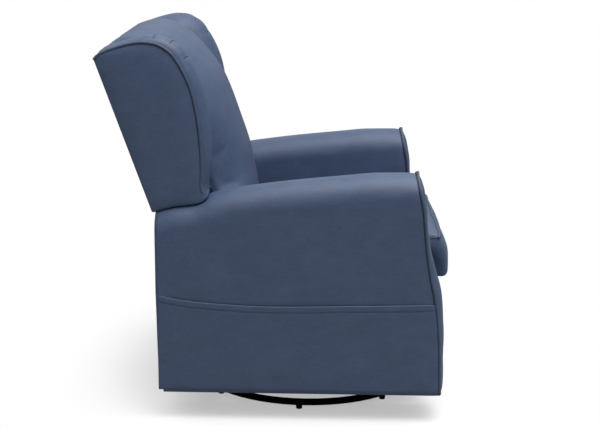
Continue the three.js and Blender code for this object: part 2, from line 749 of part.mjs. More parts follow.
add("seat_frame", upright(outline(seatFramePlan, [seatWindow]), seatFrameLow, deckHeight), wood);

// Zigzag springs lie on the rear and front rails, tied by two cross wires
const springCount = 5;
const springWire = 2; // wire radius
const springWave = 16; // half the width of the zigzag
const springBends = 13;
const springSides = 4;
const springHold = 28; // how far a spring's end lies on its rail
const tieShares = [1 / 3, 2 / 3];
const springHeight = deckHeight + seat + springWire;
const springFrom = seatFrameRear + seatRailWidth - springHold;
const springTo = seatFrameFront - seatRailWidth + springHold;
const springPitch = (2 * (seatFrameHalf - seatRailWidth)) / springCount;
const springPlaces = Array.from({ length: springCount }, (_, i) => (i - (springCount - 1) / 2) * springPitch);

function zigzag(y) {
  const points = Array.from({ length: springBends + 1 }, (_, i) => {
    const isEnd = i === 0 || i === springBends;
    const aside = isEnd ? 0 : springWave * ((i % 2) * 2 - 1);
    const x = springFrom + ((springTo - springFrom) * i) / springBends;
    return new THREE.Vector3(x, y + aside, springHeight);
  });
  const section = outline(circle(0, 0, springWire, springSides));
  return new THREE.ExtrudeGeometry(section, {
    steps: 3 * springBends,
    extrudePath: new THREE.CatmullRomCurve3(points),
    bevelEnabled: false,
  });
}

function tieWire(share) {
  const x = springFrom + share * (springTo - springFrom);
  const half = springPlaces.at(-1) + springWave;
  return crossBar([x, springHeight], springWire, -half, half, springSides);
}
add("seat_springs", joined(...tieShares.map(tieWire), ...springPlaces.map(zigzag)), zincSteel);

// Side outline of the seat cushion
const cushionCrown = 24;
const cushionLip = 13; // how far the front lip hangs below the cushion's bottom
const cushionDraw = 7; // how far the ends are drawn in
const cushionLow = springHeight + springWire + seat;
const cushionLength = cushionNose - cushionRear;
const cushionRise = seatFrontHeight - cushionLow;
// [share of length, share of rise, share of crown, share of lip]
const cushionShares = [
  [0.015, 0, 0, 0], [0.916, 0, 0, 0], [0.922, 0, 0, 0.6], [0.953, 0, 0, 1], [0.986, 0, 0, 0.45],
  [1, 0.08, 0, 0], [0.996, 0.38, 0, 0], [0.978, 0.76, 0, 0], [0.957, 1, 0, 0], [0.91, 1, 0.3, 0],
  [0.8, 1, 0.62, 0], [0.62, 1, 0.92, 0], [0.42, 1, 1, 0], [0.2, 1, 0.85, 0], [0.06, 1, 0.45, 0],
  [0.006, 0.95, 0, 0], [0, 0.5, 0, 0],
];

// How full a cushion is at a share of its half width: 1 in the middle, 0 at its ends
const fullnessAt = (share) => 1 - Math.abs(share) ** 6;

function cushionRing(share) {
  const fullness = fullnessAt(share);
  const draw = cushionDraw * (1 - fullness);
  return cushionShares.map(([deep, rise, crown, lip]) => {
    const x = cushionRear + deep * cushionLength + (deep > 0.5 ? -draw : draw);
    const z = cushionLow + rise * cushionRise - lip * cushionLip + crown * cushionCrown * fullness;
    if (rise > 0.5) return [x, z - draw];
    return [x, lip > 0 ? z + draw : z];
  });
}
add("seat_cushion", cushion(cushionHalf, cushionRing), fabric);

// Footrest linkage, folded. The drive and guide links hang from the plate, the long
// and lower links stay parallel to themselves, and the bracket turns with the drive
// link: two parallelograms in a row, which swing the footrest about one point.

const flangeTop = seatFrameLow - seat;
const flangeRoom = 1.7; // between the plate's flange and the drive link's end
const driveSetback = 184; // from the arms' fronts to the drive pivot
const turnBehindNose = 19;
const turnBelowEdge = 21;
const bracketSetback = 18; // from the footrest's board to its bracket's pivots
const bracketFall = 20; // how far the bracket's pivot lies below the drive pivot
const barSpacing = 60; // between the two pivots of each pair of bars
const firstLayer = [plateSteel, 0].map((y) => plateInner - layerGap - y);
const secondLayer = firstLayer.map((y) => y - plateSteel - layerGap);
const thirdLayer = secondLayer.map((y) => y - plateSteel - layerGap);

const drivePivot = [bodyAhead - driveSetback, flangeTop - plateSteel - linkWidth / 2 - flangeRoom];
const turnCentre = [cushionNose - turnBehindNose, seatFrontHeight - turnBelowEdge];
const bracketPivot = [footrestBack - bracketSetback, drivePivot[1] - bracketFall];
const reach = new THREE.Vector2(...turnCentre).sub(new THREE.Vector2(...drivePivot));
const longPivot = [bracketPivot[0] - reach.x, bracketPivot[1] - reach.y];
const hang = new THREE.Vector2(...longPivot).sub(new THREE.Vector2(...drivePivot));

// The place a distance away from a pivot, along a direction
function beyond([x, z], direction, distance) {
  const stepped = direction.clone().setLength(Math.abs(distance)).multiplyScalar(Math.sign(distance));
  return [x + stepped.x, z + stepped.y];
}
const guidePivot = beyond(drivePivot, reach, -barSpacing);
const guideEnd = beyond(longPivot, reach, -barSpacing);
const lowerPivot = beyond(longPivot, hang, barSpacing);
const lowerEnd = beyond(bracketPivot, hang, barSpacing);

const pinInPlate = (pivot) => crossBar(pivot, pinRadius, middleOf(firstLayer), plateOuter - seat / 2);
const rivetToSecond = (pivot) => rivet(pivot, middleOf(firstLayer), secondLayer[0] - seat);
const rivetToThird = (pivot) => rivet(pivot, middleOf(secondLayer), thirdLayer[0] - seat);

const driveLink = joined(
  bar(drivePivot, lowerPivot, firstLayer),
  pinInPlate(drivePivot), ...rivetToSecond(longPivot), ...rivetToSecond(lowerPivot),
);
addPair("footrest_drive_link", driveLink, zincSteel);

const guideLink = joined(
  bar(guidePivot, guideEnd, firstLayer),
  pinInPlate(guidePivot), ...rivetToSecond(guideEnd),
);
addPair("footrest_guide_link", guideLink, zincSteel);

const longBar = bar(guideEnd, bracketPivot, secondLayer, [guideEnd, longPivot]);
addPair("footrest_long_link", joined(longBar, ...rivetToThird(bracketPivot)), zincSteel);

const lowerBar = bar(lowerPivot, lowerEnd, secondLayer, [lowerPivot]);
addPair("footrest_lower_link", joined(lowerBar, ...rivetToThird(lowerEnd)), zincSteel);

// Square tube that ties the two drive links together
const tubeSide = 20;
const tubeWall = 2;
const tubeDown = 50; // from the drive pivot, along the link
const tubeEnd = firstLayer[0] - seat;
function tubeSquare(half) {
  const [x, z] = beyond(drivePivot, hang, tubeDown);
  return rectangle(x - half, z - half, x + half, z + half);
}
const tubeShape = outline(tubeSquare(tubeSide / 2), [tubeSquare(tubeSide / 2 - tubeWall)]);
add("footrest_torque_tube", across(tubeShape, -tubeEnd, tubeEnd), blackSteel);

// Footrest: board, pad and two steel brackets
const footrestBoard = 12;
const footrestPad = 34;
const footrestCrown = 6;
const footrestLift = 9; // how far its lower edge lies above the skirt
const footrestRise = 5; // how far its upper edge lies above the seat frame's bottom
const footrestPlay = 10; // between the footrest and each arm
const boardInset = 14;
const padEdge = 8; // rounding at the pad's rim
const flangeWidth = 55;
const footrestLow = skirtHeight + footrestLift;
const footrestHigh = seatFrameLow + footrestRise;
const footrestHalf = inner - footrestPlay;
const boardHalf = footrestHalf - boardInset;
const board = block(
  footrestBack, footrestBack + footrestBoard, -boardHalf, boardHalf,
  footrestLow + boardInset / 2, footrestHigh - boardInset / 2,
);
add("footrest_board", board, wood);

// Outline of the footrest pad at one station: flat behind, crowned in front
function padRing(share) {
  const fullness = fullnessAt(share);
  const rim = padEdge * (1 - fullness);
  const rear = footrestBack + footrestBoard + seat;
  const front = rear + footrestPad - rim;
  const crown = front + footrestCrown * fullness;
  const [low, high] = [footrestLow + rim, footrestHigh - rim];
  const quarter = (high - low) / 4;
  return [
    [rear, low], [front - padEdge, low], [front, low + padEdge], [crown, low + quarter],
    [crown, high - quarter], [front, high - padEdge], [front - padEdge, high], [rear, high],
  ];
}
add("footrest_pad", cushion(footrestHalf, padRing), fabric);

const bracketFace = footrestBack - seat;
const [bracketLow, bracketHigh] = [lowerEnd[1] - linkWidth, bracketPivot[1] + linkWidth / 2];
const bracketShape = outline([
  ...arc(...lowerEnd, linkWidth / 2, 0.8 * Math.PI, 1.5 * Math.PI, 5),
  [bracketFace, bracketLow], [bracketFace, bracketHigh],
  ...arc(...bracketPivot, linkWidth / 2, 0.5 * Math.PI, 0.8 * Math.PI, 4),
], [circle(...bracketPivot, holeRadius), circle(...lowerEnd, holeRadius)]);
const bracketFlange = block(
  bracketFace - plateSteel, bracketFace, thirdLayer[1] - flangeWidth, thirdLayer[1],
  bracketLow, bracketHigh,
);
addPair("footrest_bracket", joined(across(bracketShape, ...thirdLayer), bracketFlange), blackSteel);

// Mechanism plate on the inside of each arm, with a flange that carries the seat frame
const plateAhead = 90; // how far the plate reaches ahead of the drive pivot
const footRoom = 8; // between the plate's foot and the guide link
const plateFootInset = 2; // of its rear end, from the platform's end
const plateFootDrop = 5; // below the platform's pivots
const flangeInset = 3; // from the seat frame's rear edge
const strapInset = 73; // ahead of the seat frame's rear edge
const strapWidth = 32;
const strapRoom = 9; // beside the strap, in the flange's slot
const plateFront = drivePivot[0] + plateAhead;
const plateFoot = glideLow - plateFootDrop;
const plateFootFront = guideEnd[0] - linkWidth / 2 - footRoom;
const plateFootRear = plateFootInset - platformBehind;
const strapMiddle = seatFrameRear + strapInset;
const slotHalf = strapWidth / 2 + strapRoom;
const plateShape = outline([
  [reclinePivot[0] + 4 * earRadius, flangeTop],
  ...arc(...reclinePivot, earRadius, 0.4 * Math.PI, 1.15 * Math.PI, 8),
  [plateFootRear, plateFoot + 3 * linkWidth],
  [plateFootRear, plateFoot],
  [plateFootFront, plateFoot],
  [guidePivot[0] - 2 * linkWidth, guidePivot[1] - 2 * linkWidth],
  [guidePivot[0] + linkWidth, guidePivot[1] - linkWidth],
  [plateFront, drivePivot[1] - linkWidth],
  [plateFront, flangeTop],
], [drivePivot, guidePivot, reclinePivot].map(([x, z]) => circle(x, z, holeRadius)));

function flange(from, to) {
  return block(from, to, plateOuter - flangeWidth, plateOuter, flangeTop - plateSteel, flangeTop);
}
const mechanismPlate = joined(
  across(plateShape, plateInner, plateOuter),
  flange(seatFrameRear + flangeInset, strapMiddle - slotHalf),
  flange(strapMiddle + slotHalf, plateFront),
);
addPair("mechanism_plate", mechanismPlate, blackSteel);

// Round tube that ties the two mechanism plates together at the rear
const tieTubeRadius = 11;
const tieTubeInset = 19; // from the rear end of the plate's foot
const tieTubeRise = 45; // above the plate's foot
const tieTubePlace = [plateFootRear + tieTubeInset, plateFoot + tieTubeRise];
const tieTubeShape = outline(
  circle(...tieTubePlace, tieTubeRadius, 16),
  [circle(...tieTubePlace, tieTubeRadius - tubeWall, 16)],
);
add("rear_cross_tube", across(tieTubeShape, seat - plateInner, plateInner - seat), blackSteel);

// Gliding platform: side rails, end members and outriggers that carry the plates
const platformSetback = 40; // from the footrest's board to the platform's front end
const platformAhead = footrestBack - platformSetback;
const platformMember = 18;
const outriggerWidth = 36;
const railRise = 15.4; // of the side rails, above and below their pivots
const platformLow = glideLow - railRise;
const platformHigh = glideLow + railRise;
const platformShape = outline(
  rectangle(-platformBehind, platformLow, platformAhead, platformHigh),
  [circle(-glidePivotX, glideLow, holeRadius), circle(glidePivotX, glideLow, holeRadius)],
);
const memberHalf = platformLayer[1] - seat;

function endMember(x) {
  return block(x, x + platformMember, -memberHalf, memberHalf, platformLow, platformHigh);
}

function outrigger(x, [from, to]) {
  return block(x, x + outriggerWidth, from, to, plateFoot + seat, platformHigh);
}
const outriggerPlaces = [plateFootFront - seat - outriggerWidth, plateFootRear + seat];
const leftSpan = [platformLayer[0] + seat, plateInner - seat];
const rightSpan = [seat - plateInner, -platformLayer[0] - seat];
const platform = joined(
  across(platformShape, ...platformLayer),
  across(platformShape, -platformLayer[1], -platformLayer[0]),
  endMember(-platformBehind),
  endMember(platformAhead - platformMember),
  ...outriggerPlaces.flatMap((x) => [outrigger(x, leftSpan), outrigger(x, rightSpan)]),
);
add("glide_platform", platform, blackSteel);

// Release strap between the seat and the right arm, pulled up to let the footrest out
const strapFall = 66; // how far it hangs below the plate's flange
const strapTop = 55; // how far it stands above the cushion's front edge
const strapOuter = plateInner - seat;
const [strapLow, strapHigh] = [flangeTop - strapFall, seatFrontHeight + strapTop];
const strapShape = outline([
  [strapMiddle - strapWidth / 2, strapLow], [strapMiddle + strapWidth / 2, strapLow],
  ...arc(strapMiddle, strapHigh - strapWidth / 2, strapWidth / 2, 0, Math.PI, 8),
]);
add("release_strap", across(strapShape, -strapOuter, strapThickness - strapOuter), webbing);

const overall = new THREE.Box3().setFromObject(chair, true);
chair.position.x = -(overall.min.x + overall.max.x) / 2;

export default chair;
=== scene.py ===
# Swivel glider recliner: its upholstery, finishes, floor, light and camera.
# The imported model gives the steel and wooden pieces. Everything sewn or stuffed
# is made here, in the place of its plain solid.

import json
import math

import bmesh
import bpy
import numpy as np
from mathutils import Matrix, Vector
from mathutils.bvhtree import BVHTree


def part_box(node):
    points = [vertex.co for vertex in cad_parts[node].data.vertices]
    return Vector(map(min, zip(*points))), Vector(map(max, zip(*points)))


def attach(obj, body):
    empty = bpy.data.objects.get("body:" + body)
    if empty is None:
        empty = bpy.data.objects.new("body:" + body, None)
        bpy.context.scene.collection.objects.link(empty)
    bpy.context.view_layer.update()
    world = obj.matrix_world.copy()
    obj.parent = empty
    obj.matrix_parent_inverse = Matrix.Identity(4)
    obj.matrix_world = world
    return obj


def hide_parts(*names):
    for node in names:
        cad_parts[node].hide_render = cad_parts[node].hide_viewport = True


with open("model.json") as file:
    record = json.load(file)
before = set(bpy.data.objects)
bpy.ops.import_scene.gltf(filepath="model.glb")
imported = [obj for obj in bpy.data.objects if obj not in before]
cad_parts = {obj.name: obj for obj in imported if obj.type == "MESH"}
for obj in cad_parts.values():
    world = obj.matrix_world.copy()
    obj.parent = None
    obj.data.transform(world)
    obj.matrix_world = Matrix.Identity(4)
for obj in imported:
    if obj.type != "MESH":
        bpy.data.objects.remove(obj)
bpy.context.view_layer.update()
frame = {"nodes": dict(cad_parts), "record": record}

# Sizes of the chair, in millimetres from the swivel axis, as in its solids

SEAT_GAP, ARM_WIDTH, ARM_CROWN, ARM_FALL = 524.0, 122.0, 626.0, 91.0
BODY_BEHIND, BODY_AHEAD, SKIRT, SEAT_FRONT = 376.0, 334.0, 71.0, 450.0
RAKE = math.radians(19.7)
WING_HEIGHT, FRONT_SWEEP, REAR_TUCK = 407.0, 72.0, 15.0
CROWN_RADIUS = ARM_WIDTH / 2
SHOULDER = ARM_CROWN - CROWN_RADIUS
INNER = SEAT_GAP / 2
OUTER = INNER + ARM_WIDTH
ARM_MIDDLE = INNER + CROWN_RADIUS
WING_INNER, WING_OUTER = 250.5, 362.5
BACK_FOOT = (-379.0, 530.0)

CROWN_FALL_SHARES = [
    (0, 1), (0.07, 0.85), (0.14, 0.79), (0.17, 0.71), (0.2, 0.59), (0.26, 0.47),
    (0.37, 0.34), (0.47, 0.24), (0.67, 0.08), (0.77, 0.01), (0.87, 0), (1.05, 0),
]
SWEEP_SHARES = [
    (0, 0), (0.22, 0.06), (0.36, 0.15), (0.45, 0.25), (0.54, 0.4), (0.65, 0.54),
    (0.75, 0.63), (0.85, 0.71), (0.9, 0.79), (0.97, 0.89), (1.02, 0.97),
]
TUCK_SHARES = [(0, 1), (0.02, 0.8), (0.11, 0.25), (0.35, 0.1), (0.5, 0), (0.76, 0), (0.84, 0.1)]

# The swivel axis in the model's frame, in metres
ring_low, ring_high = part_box("base_ring")
AXIS_X = (ring_low.x + ring_high.x) / 2


def metres(points):
    """Points given in millimetres from the swivel axis, in the model's frame."""
    places = np.asarray(points, float) * 0.001
    places[..., 0] += AXIS_X
    return places


def points_at(*columns):
    """Points from their x, y and z, or from any two columns."""
    return np.stack(np.broadcast_arrays(*columns), -1)


def bent(t, width, start, end, leaving, arriving):
    """A curve from start to end that has a slope at each."""
    return ((1 + 2 * t) * (1 - t) ** 2 * start + t * (1 - t) ** 2 * width * leaving
            + t * t * (3 - 2 * t) * end - t * t * (1 - t) * width * arriving)


def eased(pairs, at):
    """A smooth curve through [place, value] pairs that never overshoots them."""
    x, y = np.array(pairs, float).T
    slope = np.diff(y) / np.diff(x)
    before, after = slope[:-1], slope[1:]
    inside = np.where(after * before > 0, 2 * after * before / (after + before + 1e-12), 0)
    tangent = np.concatenate([[slope[0]], inside, [slope[-1]]])
    at = np.clip(at, x[0], x[-1])
    i = np.clip(np.searchsorted(x, at) - 1, 0, len(x) - 2)
    width = x[i + 1] - x[i]
    return bent((at - x[i]) / width, width, y[i], y[i + 1], tangent[i], tangent[i + 1])


def crown_at(x):
    """Height of an arm's crown."""
    share = (x + BODY_BEHIND) / (BODY_BEHIND + BODY_AHEAD)
    return ARM_CROWN - ARM_FALL * eased(CROWN_FALL_SHARES, share)


def front_at(z):
    """An arm's front edge."""
    return BODY_AHEAD - FRONT_SWEEP * eased(SWEEP_SHARES, (z - SKIRT) / (ARM_CROWN - SKIRT))


def rear_at(z):
    """An arm's rear edge."""
    return -BODY_BEHIND + REAR_TUCK * eased(TUCK_SHARES, (z - SKIRT) / (ARM_CROWN - SKIRT))


def leaned(depth, y, up):
    """A point of the back, given before it leans."""
    x = BACK_FOOT[0] + depth * math.cos(RAKE) - up * math.sin(RAKE)
    z = BACK_FOOT[1] + depth * math.sin(RAKE) + up * math.cos(RAKE)
    return points_at(x, y, z)


# Shader maths: a socket that Python's operators work on

class Value:
    """One output of a node."""

    def __init__(self, nodes, socket):
        self.nodes, self.socket = nodes, socket

    def _with(self, operation, first, second):
        return self.nodes.node("ShaderNodeMath", {"operation": operation}, [first, second])

    def __add__(self, other):
        return self._with("ADD", self, other)

    def __sub__(self, other):
        return self._with("SUBTRACT", self, other)

    def __rsub__(self, other):
        return self._with("SUBTRACT", other, self)

    def __mul__(self, other):
        return self._with("MULTIPLY", self, other)

    def at_least(self, other):
        return self._with("MAXIMUM", self, other)

    __radd__, __rmul__ = __add__, __mul__


class Nodes:
    """A node tree, and the one way its nodes are added."""

    def __init__(self, tree):
        self.tree = tree

    def give(self, socket, value):
        """Links a value to a socket, or sets it there."""
        if isinstance(value, Value):
            self.tree.links.new(value.socket, socket)
        else:
            socket.default_value = value

    def node(self, kind, settings=None, inputs=(), output=0):
        """Adds a node; inputs are values or links, by order or by name."""
        made = self.tree.nodes.new(kind)
        for key, value in (settings or {}).items():
            setattr(made, key, value)
        for key, value in inputs.items() if isinstance(inputs, dict) else enumerate(inputs):
            self.give(made.inputs[key], value)
        return Value(self, made.outputs[output])

    def place(self, output="Object"):
        """Where a point of the surface is, or which way a ray of the world goes."""
        return self.node("ShaderNodeTexCoord", output=output)

    def ray(self, kind):
        """1 for rays of one kind."""
        return self.node("ShaderNodeLightPath", output=f"Is {kind} Ray")

    def vector(self, operation, *values, output="Vector"):
        return self.node("ShaderNodeVectorMath", {"operation": operation}, values, output)


class Finish(Nodes):
    """A material and its shader."""

    def __init__(self, name, **fixed):
        self.material = bpy.data.materials.new(name)
        self.material.use_nodes = True
        super().__init__(self.material.node_tree)
        self.shader = self.tree.nodes["Principled BSDF"]
        for socket, value in fixed.items():
            self.feed(socket.replace("_", " "), value)

    def feed(self, socket, value):
        """Gives a value to one of the shader's own sockets."""
        self.give(self.shader.inputs[socket], value)

    def spread(self, vector, scale, detail=2.0, roughness=0.5, stretch=(1, 1, 1), seed=0.0):
        """Soft noise from 0 to 1 with its own stretch along each axis."""
        placed = self.node("ShaderNodeMapping", {}, {
            "Vector": vector, "Location": (seed, seed * 0.7, seed * 1.3), "Scale": stretch})
        return self.node("ShaderNodeTexNoise", {}, {
            "Vector": placed, "Scale": scale, "Detail": detail, "Roughness": roughness}, "Fac")

    def between(self, value, low, high):
        """0 below low, 1 above high, smooth in between."""
        return self.node("ShaderNodeMapRange", {"interpolation_type": "SMOOTHSTEP"}, {
            "Value": value, "From Min": low, "From Max": high})

    def blend(self, share, first, second):
        """Mixes two colours."""
        return self.node("ShaderNodeMix", {"data_type": "RGBA"}, {0: share, 6: first, 7: second}, 2)

    def bump(self, height, distance, strength=1.0):
        """Raises the surface by a height from 0 to 1 times a distance in metres."""
        self.feed("Normal", self.node("ShaderNodeBump", {}, {
            "Height": height, "Distance": distance, "Strength": strength}, "Normal"))


def colour(red, green, blue):
    """An sRGB colour of 0 to 255, as linear light."""
    shares = [v / 255 for v in (red, green, blue)]
    return (*[v / 12.92 if v <= 0.04045 else ((v + 0.055) / 1.055) ** 2.4 for v in shares], 1.0)


# Finishes

def linen(name, deep, pale):
    """Linen-look weave: fine threads both ways, with slubs along the weft."""
    cloth = Finish(name, Specular_IOR_Level=0.42)
    weave = cloth.node("ShaderNodeUVMap", {"uv_map": "weave"})
    slub = cloth.spread(weave, 1.0, 3.0, 0.6, (60, 620, 1))
    long_slub = cloth.spread(weave, 1.0, 2.0, 0.5, (16, 300, 1), 3.1)
    warp = cloth.spread(weave, 1.0, 2.0, 0.5, (900, 60, 1), 7.7)
    mottle = cloth.spread(weave, 22.0, 2.0, 0.5, (1, 1.6, 1), 1.9)
    threads = slub * 0.42 + long_slub * 0.2 + warp * 0.38
    tone = cloth.between(threads * 0.8 + mottle * 0.2, 0.26, 0.74)
    tint = cloth.between(cloth.spread(weave, 9.0, 2.0, 0.5, (1, 1.4, 1), 5.3), 0.35, 0.75)
    cool = cloth.blend(tone, deep, pale)
    warm = cloth.vector("MULTIPLY", cool, (1.08, 0.96, 1.04))
    cloth.feed("Base Color", cloth.blend(tint * 0.5, cool, warm))
    cloth.feed("Roughness", threads * 0.1 + 0.5)
    cloth.bump(threads, 0.0009, 0.55)
    return cloth.material


def enamel(name, deep, pale, roughness, metallic, scale=260.0):
    """Powder coat or moulded skin: a fine orange peel and a few rubbed places."""
    coat = Finish(name, Metallic=metallic, Specular_IOR_Level=0.05)
    place = coat.place()
    peel = coat.spread(place, scale, 2.0)
    rubbed = coat.between(coat.spread(place, 9.0, 4.0, 0.6, seed=2.3), 0.45, 0.75)
    coat.feed("Base Color", coat.blend(rubbed, deep, pale))
    coat.feed("Roughness", rubbed * 0.12 + peel * 0.08 + roughness)
    coat.bump(peel, 0.00025, 0.4)
    return coat.material


def zinc(name):
    """Bright zinc plate: rolled grain and a cloudy spangle."""
    plate = Finish(name, Metallic=0.95)
    place = plate.place()
    grain = plate.spread(place, 60.0, 3.0, 0.6, (1, 9, 9))
    cloud = plate.spread(place, 24.0, 3.0, 0.6, seed=4.2)
    plate.feed("Base Color", plate.blend(cloud, colour(120, 124, 128), colour(178, 181, 184)))
    plate.feed("Roughness", grain * 0.2 + cloud * 0.12 + 0.22)
    plate.bump(grain, 0.0002, 0.3)
    return plate.material


def timber(name):
    """Planed softwood: long rings and a fine grain."""
    board = Finish(name, Roughness=0.7)
    place = board.place()
    rings = board.spread(place, 7.0, 4.0, 0.6, (0.6, 5, 5))
    grain = board.spread(place, 90.0, 3.0, 0.6, (0.5, 6, 6), 1.2)
    tone = board.between(rings * 0.7 + grain * 0.3, 0.3, 0.7)
    board.feed("Base Color", board.blend(tone, colour(150, 112, 70), colour(202, 168, 120)))
    board.feed("Roughness", grain * 0.2 + 0.6)
    board.bump(grain, 0.0003, 0.5)
    return board.material


def webbing(name):
    """Woven strap with a herringbone rib along it."""
    strap = Finish(name, Roughness=0.85, Sheen_Weight=0.15)
    weave = strap.node("ShaderNodeUVMap", {"uv_map": "weave"})
    ribs = strap.node("ShaderNodeTexWave", {"wave_profile": "SIN", "bands_direction": "DIAGONAL"}, {
        "Vector": weave, "Scale": 90.0, "Distortion": 0.6}, "Fac")
    strap.feed("Base Color", strap.blend(ribs, colour(18, 19, 21), colour(38, 40, 44)))
    strap.bump(ribs, 0.0006, 0.7)
    return strap.material


cover_linen = linen("cover_linen", colour(40, 55, 78), colour(58, 74, 101))
board_linen = linen("board_linen", colour(41, 55, 75), colour(59, 73, 95))
# The welt cloth is the cover's cloth made a little darker: painted shade for the welts' undersides,
# where shade falls.
welt_linen_painted_shade = linen("welt_linen_painted_shade", colour(40, 54, 74), colour(56, 70, 93))
# Near-black cloth for cords of painted shade, laid in creases beside welts and in tucks where shade
# falls.
crease_shade_finish = linen("seam_shade", colour(16, 20, 30), colour(24, 29, 41))
thread_finish = linen("sewing_thread", colour(38, 46, 62), colour(50, 60, 77))
black_coat = enamel("black_powder_coat", colour(3, 3, 3), colour(9, 9, 10), 0.5, 0.0)
black_moulding = enamel("black_moulding", colour(12, 12, 13), colour(24, 24, 26), 0.5, 0.0, 420.0)
zinc_plate = zinc("zinc_plate")
frame_timber = timber("frame_timber")
strap_webbing = webbing("strap_webbing")

NODE_FINISHES = {
    "black_steel": black_coat, "black_plastic": black_moulding, "zinc_steel": zinc_plate,
    "frame_wood": frame_timber,
}
for part in frame["record"]["subparts"]:
    if part["material_slot"] in NODE_FINISHES:
        node = frame["nodes"][part["node"]]
        node.data.materials.clear()
        node.data.materials.append(NODE_FINISHES[part["material_slot"]])


# Making meshes

def shown(name, data):
    """Adds a thing to the scene."""
    thing = bpy.data.objects.new(name, data)
    bpy.context.scene.collection.objects.link(thing)
    return thing


def sheet_faces(rows, columns, closed=False):
    """Four-sided faces over rows of points; a closed sheet's rows are rings."""
    faces = []
    for r in range(rows - 1):
        for c in range(columns if closed else columns - 1):
            near, far = r * columns, (r + 1) * columns
            faces.append((near + c, near + (c + 1) % columns, far + (c + 1) % columns, far + c))
    return faces


def make(name, points, faces, finish):
    """A smooth mesh from points in millimetres, with its doubles merged and faces outwards."""
    mesh = bpy.data.meshes.new(name)
    mesh.from_pydata(metres(np.asarray(points, float).reshape(-1, 3)).tolist(), [], faces)
    work = bmesh.new()
    work.from_mesh(mesh)
    bmesh.ops.remove_doubles(work, verts=work.verts, dist=2e-5)
    bmesh.ops.dissolve_degenerate(work, edges=work.edges, dist=1e-6)
    bmesh.ops.recalc_face_normals(work, faces=work.faces)
    work.to_mesh(mesh)
    work.free()
    mesh.shade_smooth()
    mesh.materials.append(finish)
    return shown(name, mesh)


def places_of(mesh):
    """A mesh's points as an array."""
    found = np.empty(len(mesh.vertices) * 3)
    mesh.vertices.foreach_get("co", found)
    return found.reshape(-1, 3)


def move_to(mesh, places):
    mesh.vertices.foreach_set("co", np.asarray(places, np.float32).ravel())
    mesh.update()


def lay_weave(piece, lean=0.0):
    """Lays the cloth's weave on a piece, flat on the side that each face looks to."""
    mesh = piece.data
    turn = np.array(Matrix.Rotation(lean, 3, "Y"))
    corners = np.empty(len(mesh.loops), int)
    mesh.loops.foreach_get("vertex_index", corners)
    counts = np.empty(len(mesh.polygons), int)
    mesh.polygons.foreach_get("loop_total", counts)
    normals = np.empty(len(mesh.polygons) * 3)
    mesh.polygons.foreach_get("normal", normals)
    facing = np.abs(normals.reshape(-1, 3) @ turn.T).argmax(1).repeat(counts)
    places = (places_of(mesh) @ turn.T)[corners]
    across = np.where(facing == 0, places[:, 1], places[:, 0])
    along = np.where(facing == 2, places[:, 1], places[:, 2])
    layer = mesh.uv_layers.get("weave") or mesh.uv_layers.new(name="weave")
    layer.data.foreach_set("uv", points_at(across, along).astype(np.float32).ravel())


def finished(piece, body, node=None, lean=0.0):
    """Gives a piece its weave, puts it in its body, and hides the solid it stands for."""
    lay_weave(piece, lean)
    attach(piece, body)
    if node:
        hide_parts(node)
    return piece


def stuffed(name, upper, lower, steps, finish, puffs=(None, None)):
    """A closed body of stations, each with an upper and a lower edge of as many points.

    The two end stations are closed from edge to edge, and a puff (a vector) swells them.
    """
    upper, lower = np.asarray(upper, float), np.asarray(lower, float)
    share = np.linspace(0, 1, steps + 1)[1:-1, None]

    def between(first, second):
        return first + (second - first) * share

    loops = np.array([
        np.concatenate([a, between(a[-1], b[-1]), b[::-1], between(b[0], a[0])])
        for a, b in zip(upper, lower)])
    count = loops.shape[1]
    points, faces = [loops.reshape(-1, 3)], sheet_faces(len(loops), count, closed=True)
    offset = len(points[0])
    for station, puff in ((0, puffs[0]), (-1, puffs[1])):
        a, b = upper[station], lower[station]
        across = np.linspace(0, 1, steps + 1)[None, :, None]
        grid = a[:, None] + (b - a)[:, None] * across
        if puff is not None:
            along = np.linspace(-1, 1, len(a))[:, None, None]
            full = (1 - np.abs(along) ** 6) * (1 - np.abs(2 * across - 1) ** 4)
            grid = grid + full * np.asarray(puff, float)
        points.append(grid.reshape(-1, 3))
        faces += [tuple(i + offset for i in face) for face in sheet_faces(len(a), steps + 1)]
        offset += len(points[-1])
    return make(name, np.concatenate(points), faces, finish)


def slab(name, face, back, finish):
    """A closed panel between two sheets of points of one shape."""
    face, back = np.asarray(face, float), np.asarray(back, float)
    rows, columns = face.shape[:2]
    size = rows * columns
    faces = sheet_faces(rows, columns)
    faces += [tuple(i + size for i in reversed(f)) for f in faces]
    rim = ([(0, c) for c in range(columns)] + [(r, columns - 1) for r in range(1, rows)]
           + [(rows - 1, c) for c in range(columns - 2, -1, -1)]
           + [(r, 0) for r in range(rows - 2, 0, -1)])
    edge = [r * columns + c for r, c in rim]
    faces += [(a, b, b + size, a + size) for a, b in zip(edge, edge[1:] + edge[:1])]
    return make(name, np.concatenate([face.reshape(-1, 3), back.reshape(-1, 3)]), faces, finish)


def smooth_path(points, count):
    """A curve through points, as evenly spaced places."""
    given = np.asarray(points, float)
    knots = np.concatenate([[0], np.cumsum(np.linalg.norm(np.diff(given, axis=0), axis=1) ** 0.5)])
    tangent = np.gradient(given, knots, axis=0)
    at = np.linspace(0, knots[-1], 30 * len(given))
    i = np.clip(np.searchsorted(knots, at, side="right") - 1, 0, len(given) - 2)
    width = knots[i + 1] - knots[i]
    t = ((at - knots[i]) / width)[:, None]
    fine = bent(t, width[:, None], given[i], given[i + 1], tangent[i], tangent[i + 1])
    return evenly(fine, count)


def evenly(points, count):
    """A chain of points walked in equal steps."""
    points = np.asarray(points, float)
    run = np.concatenate([[0], np.cumsum(np.linalg.norm(np.diff(points, axis=0), axis=1))])
    at = np.linspace(0, run[-1], count)
    return points_at(*(np.interp(at, run, column) for column in points.T))


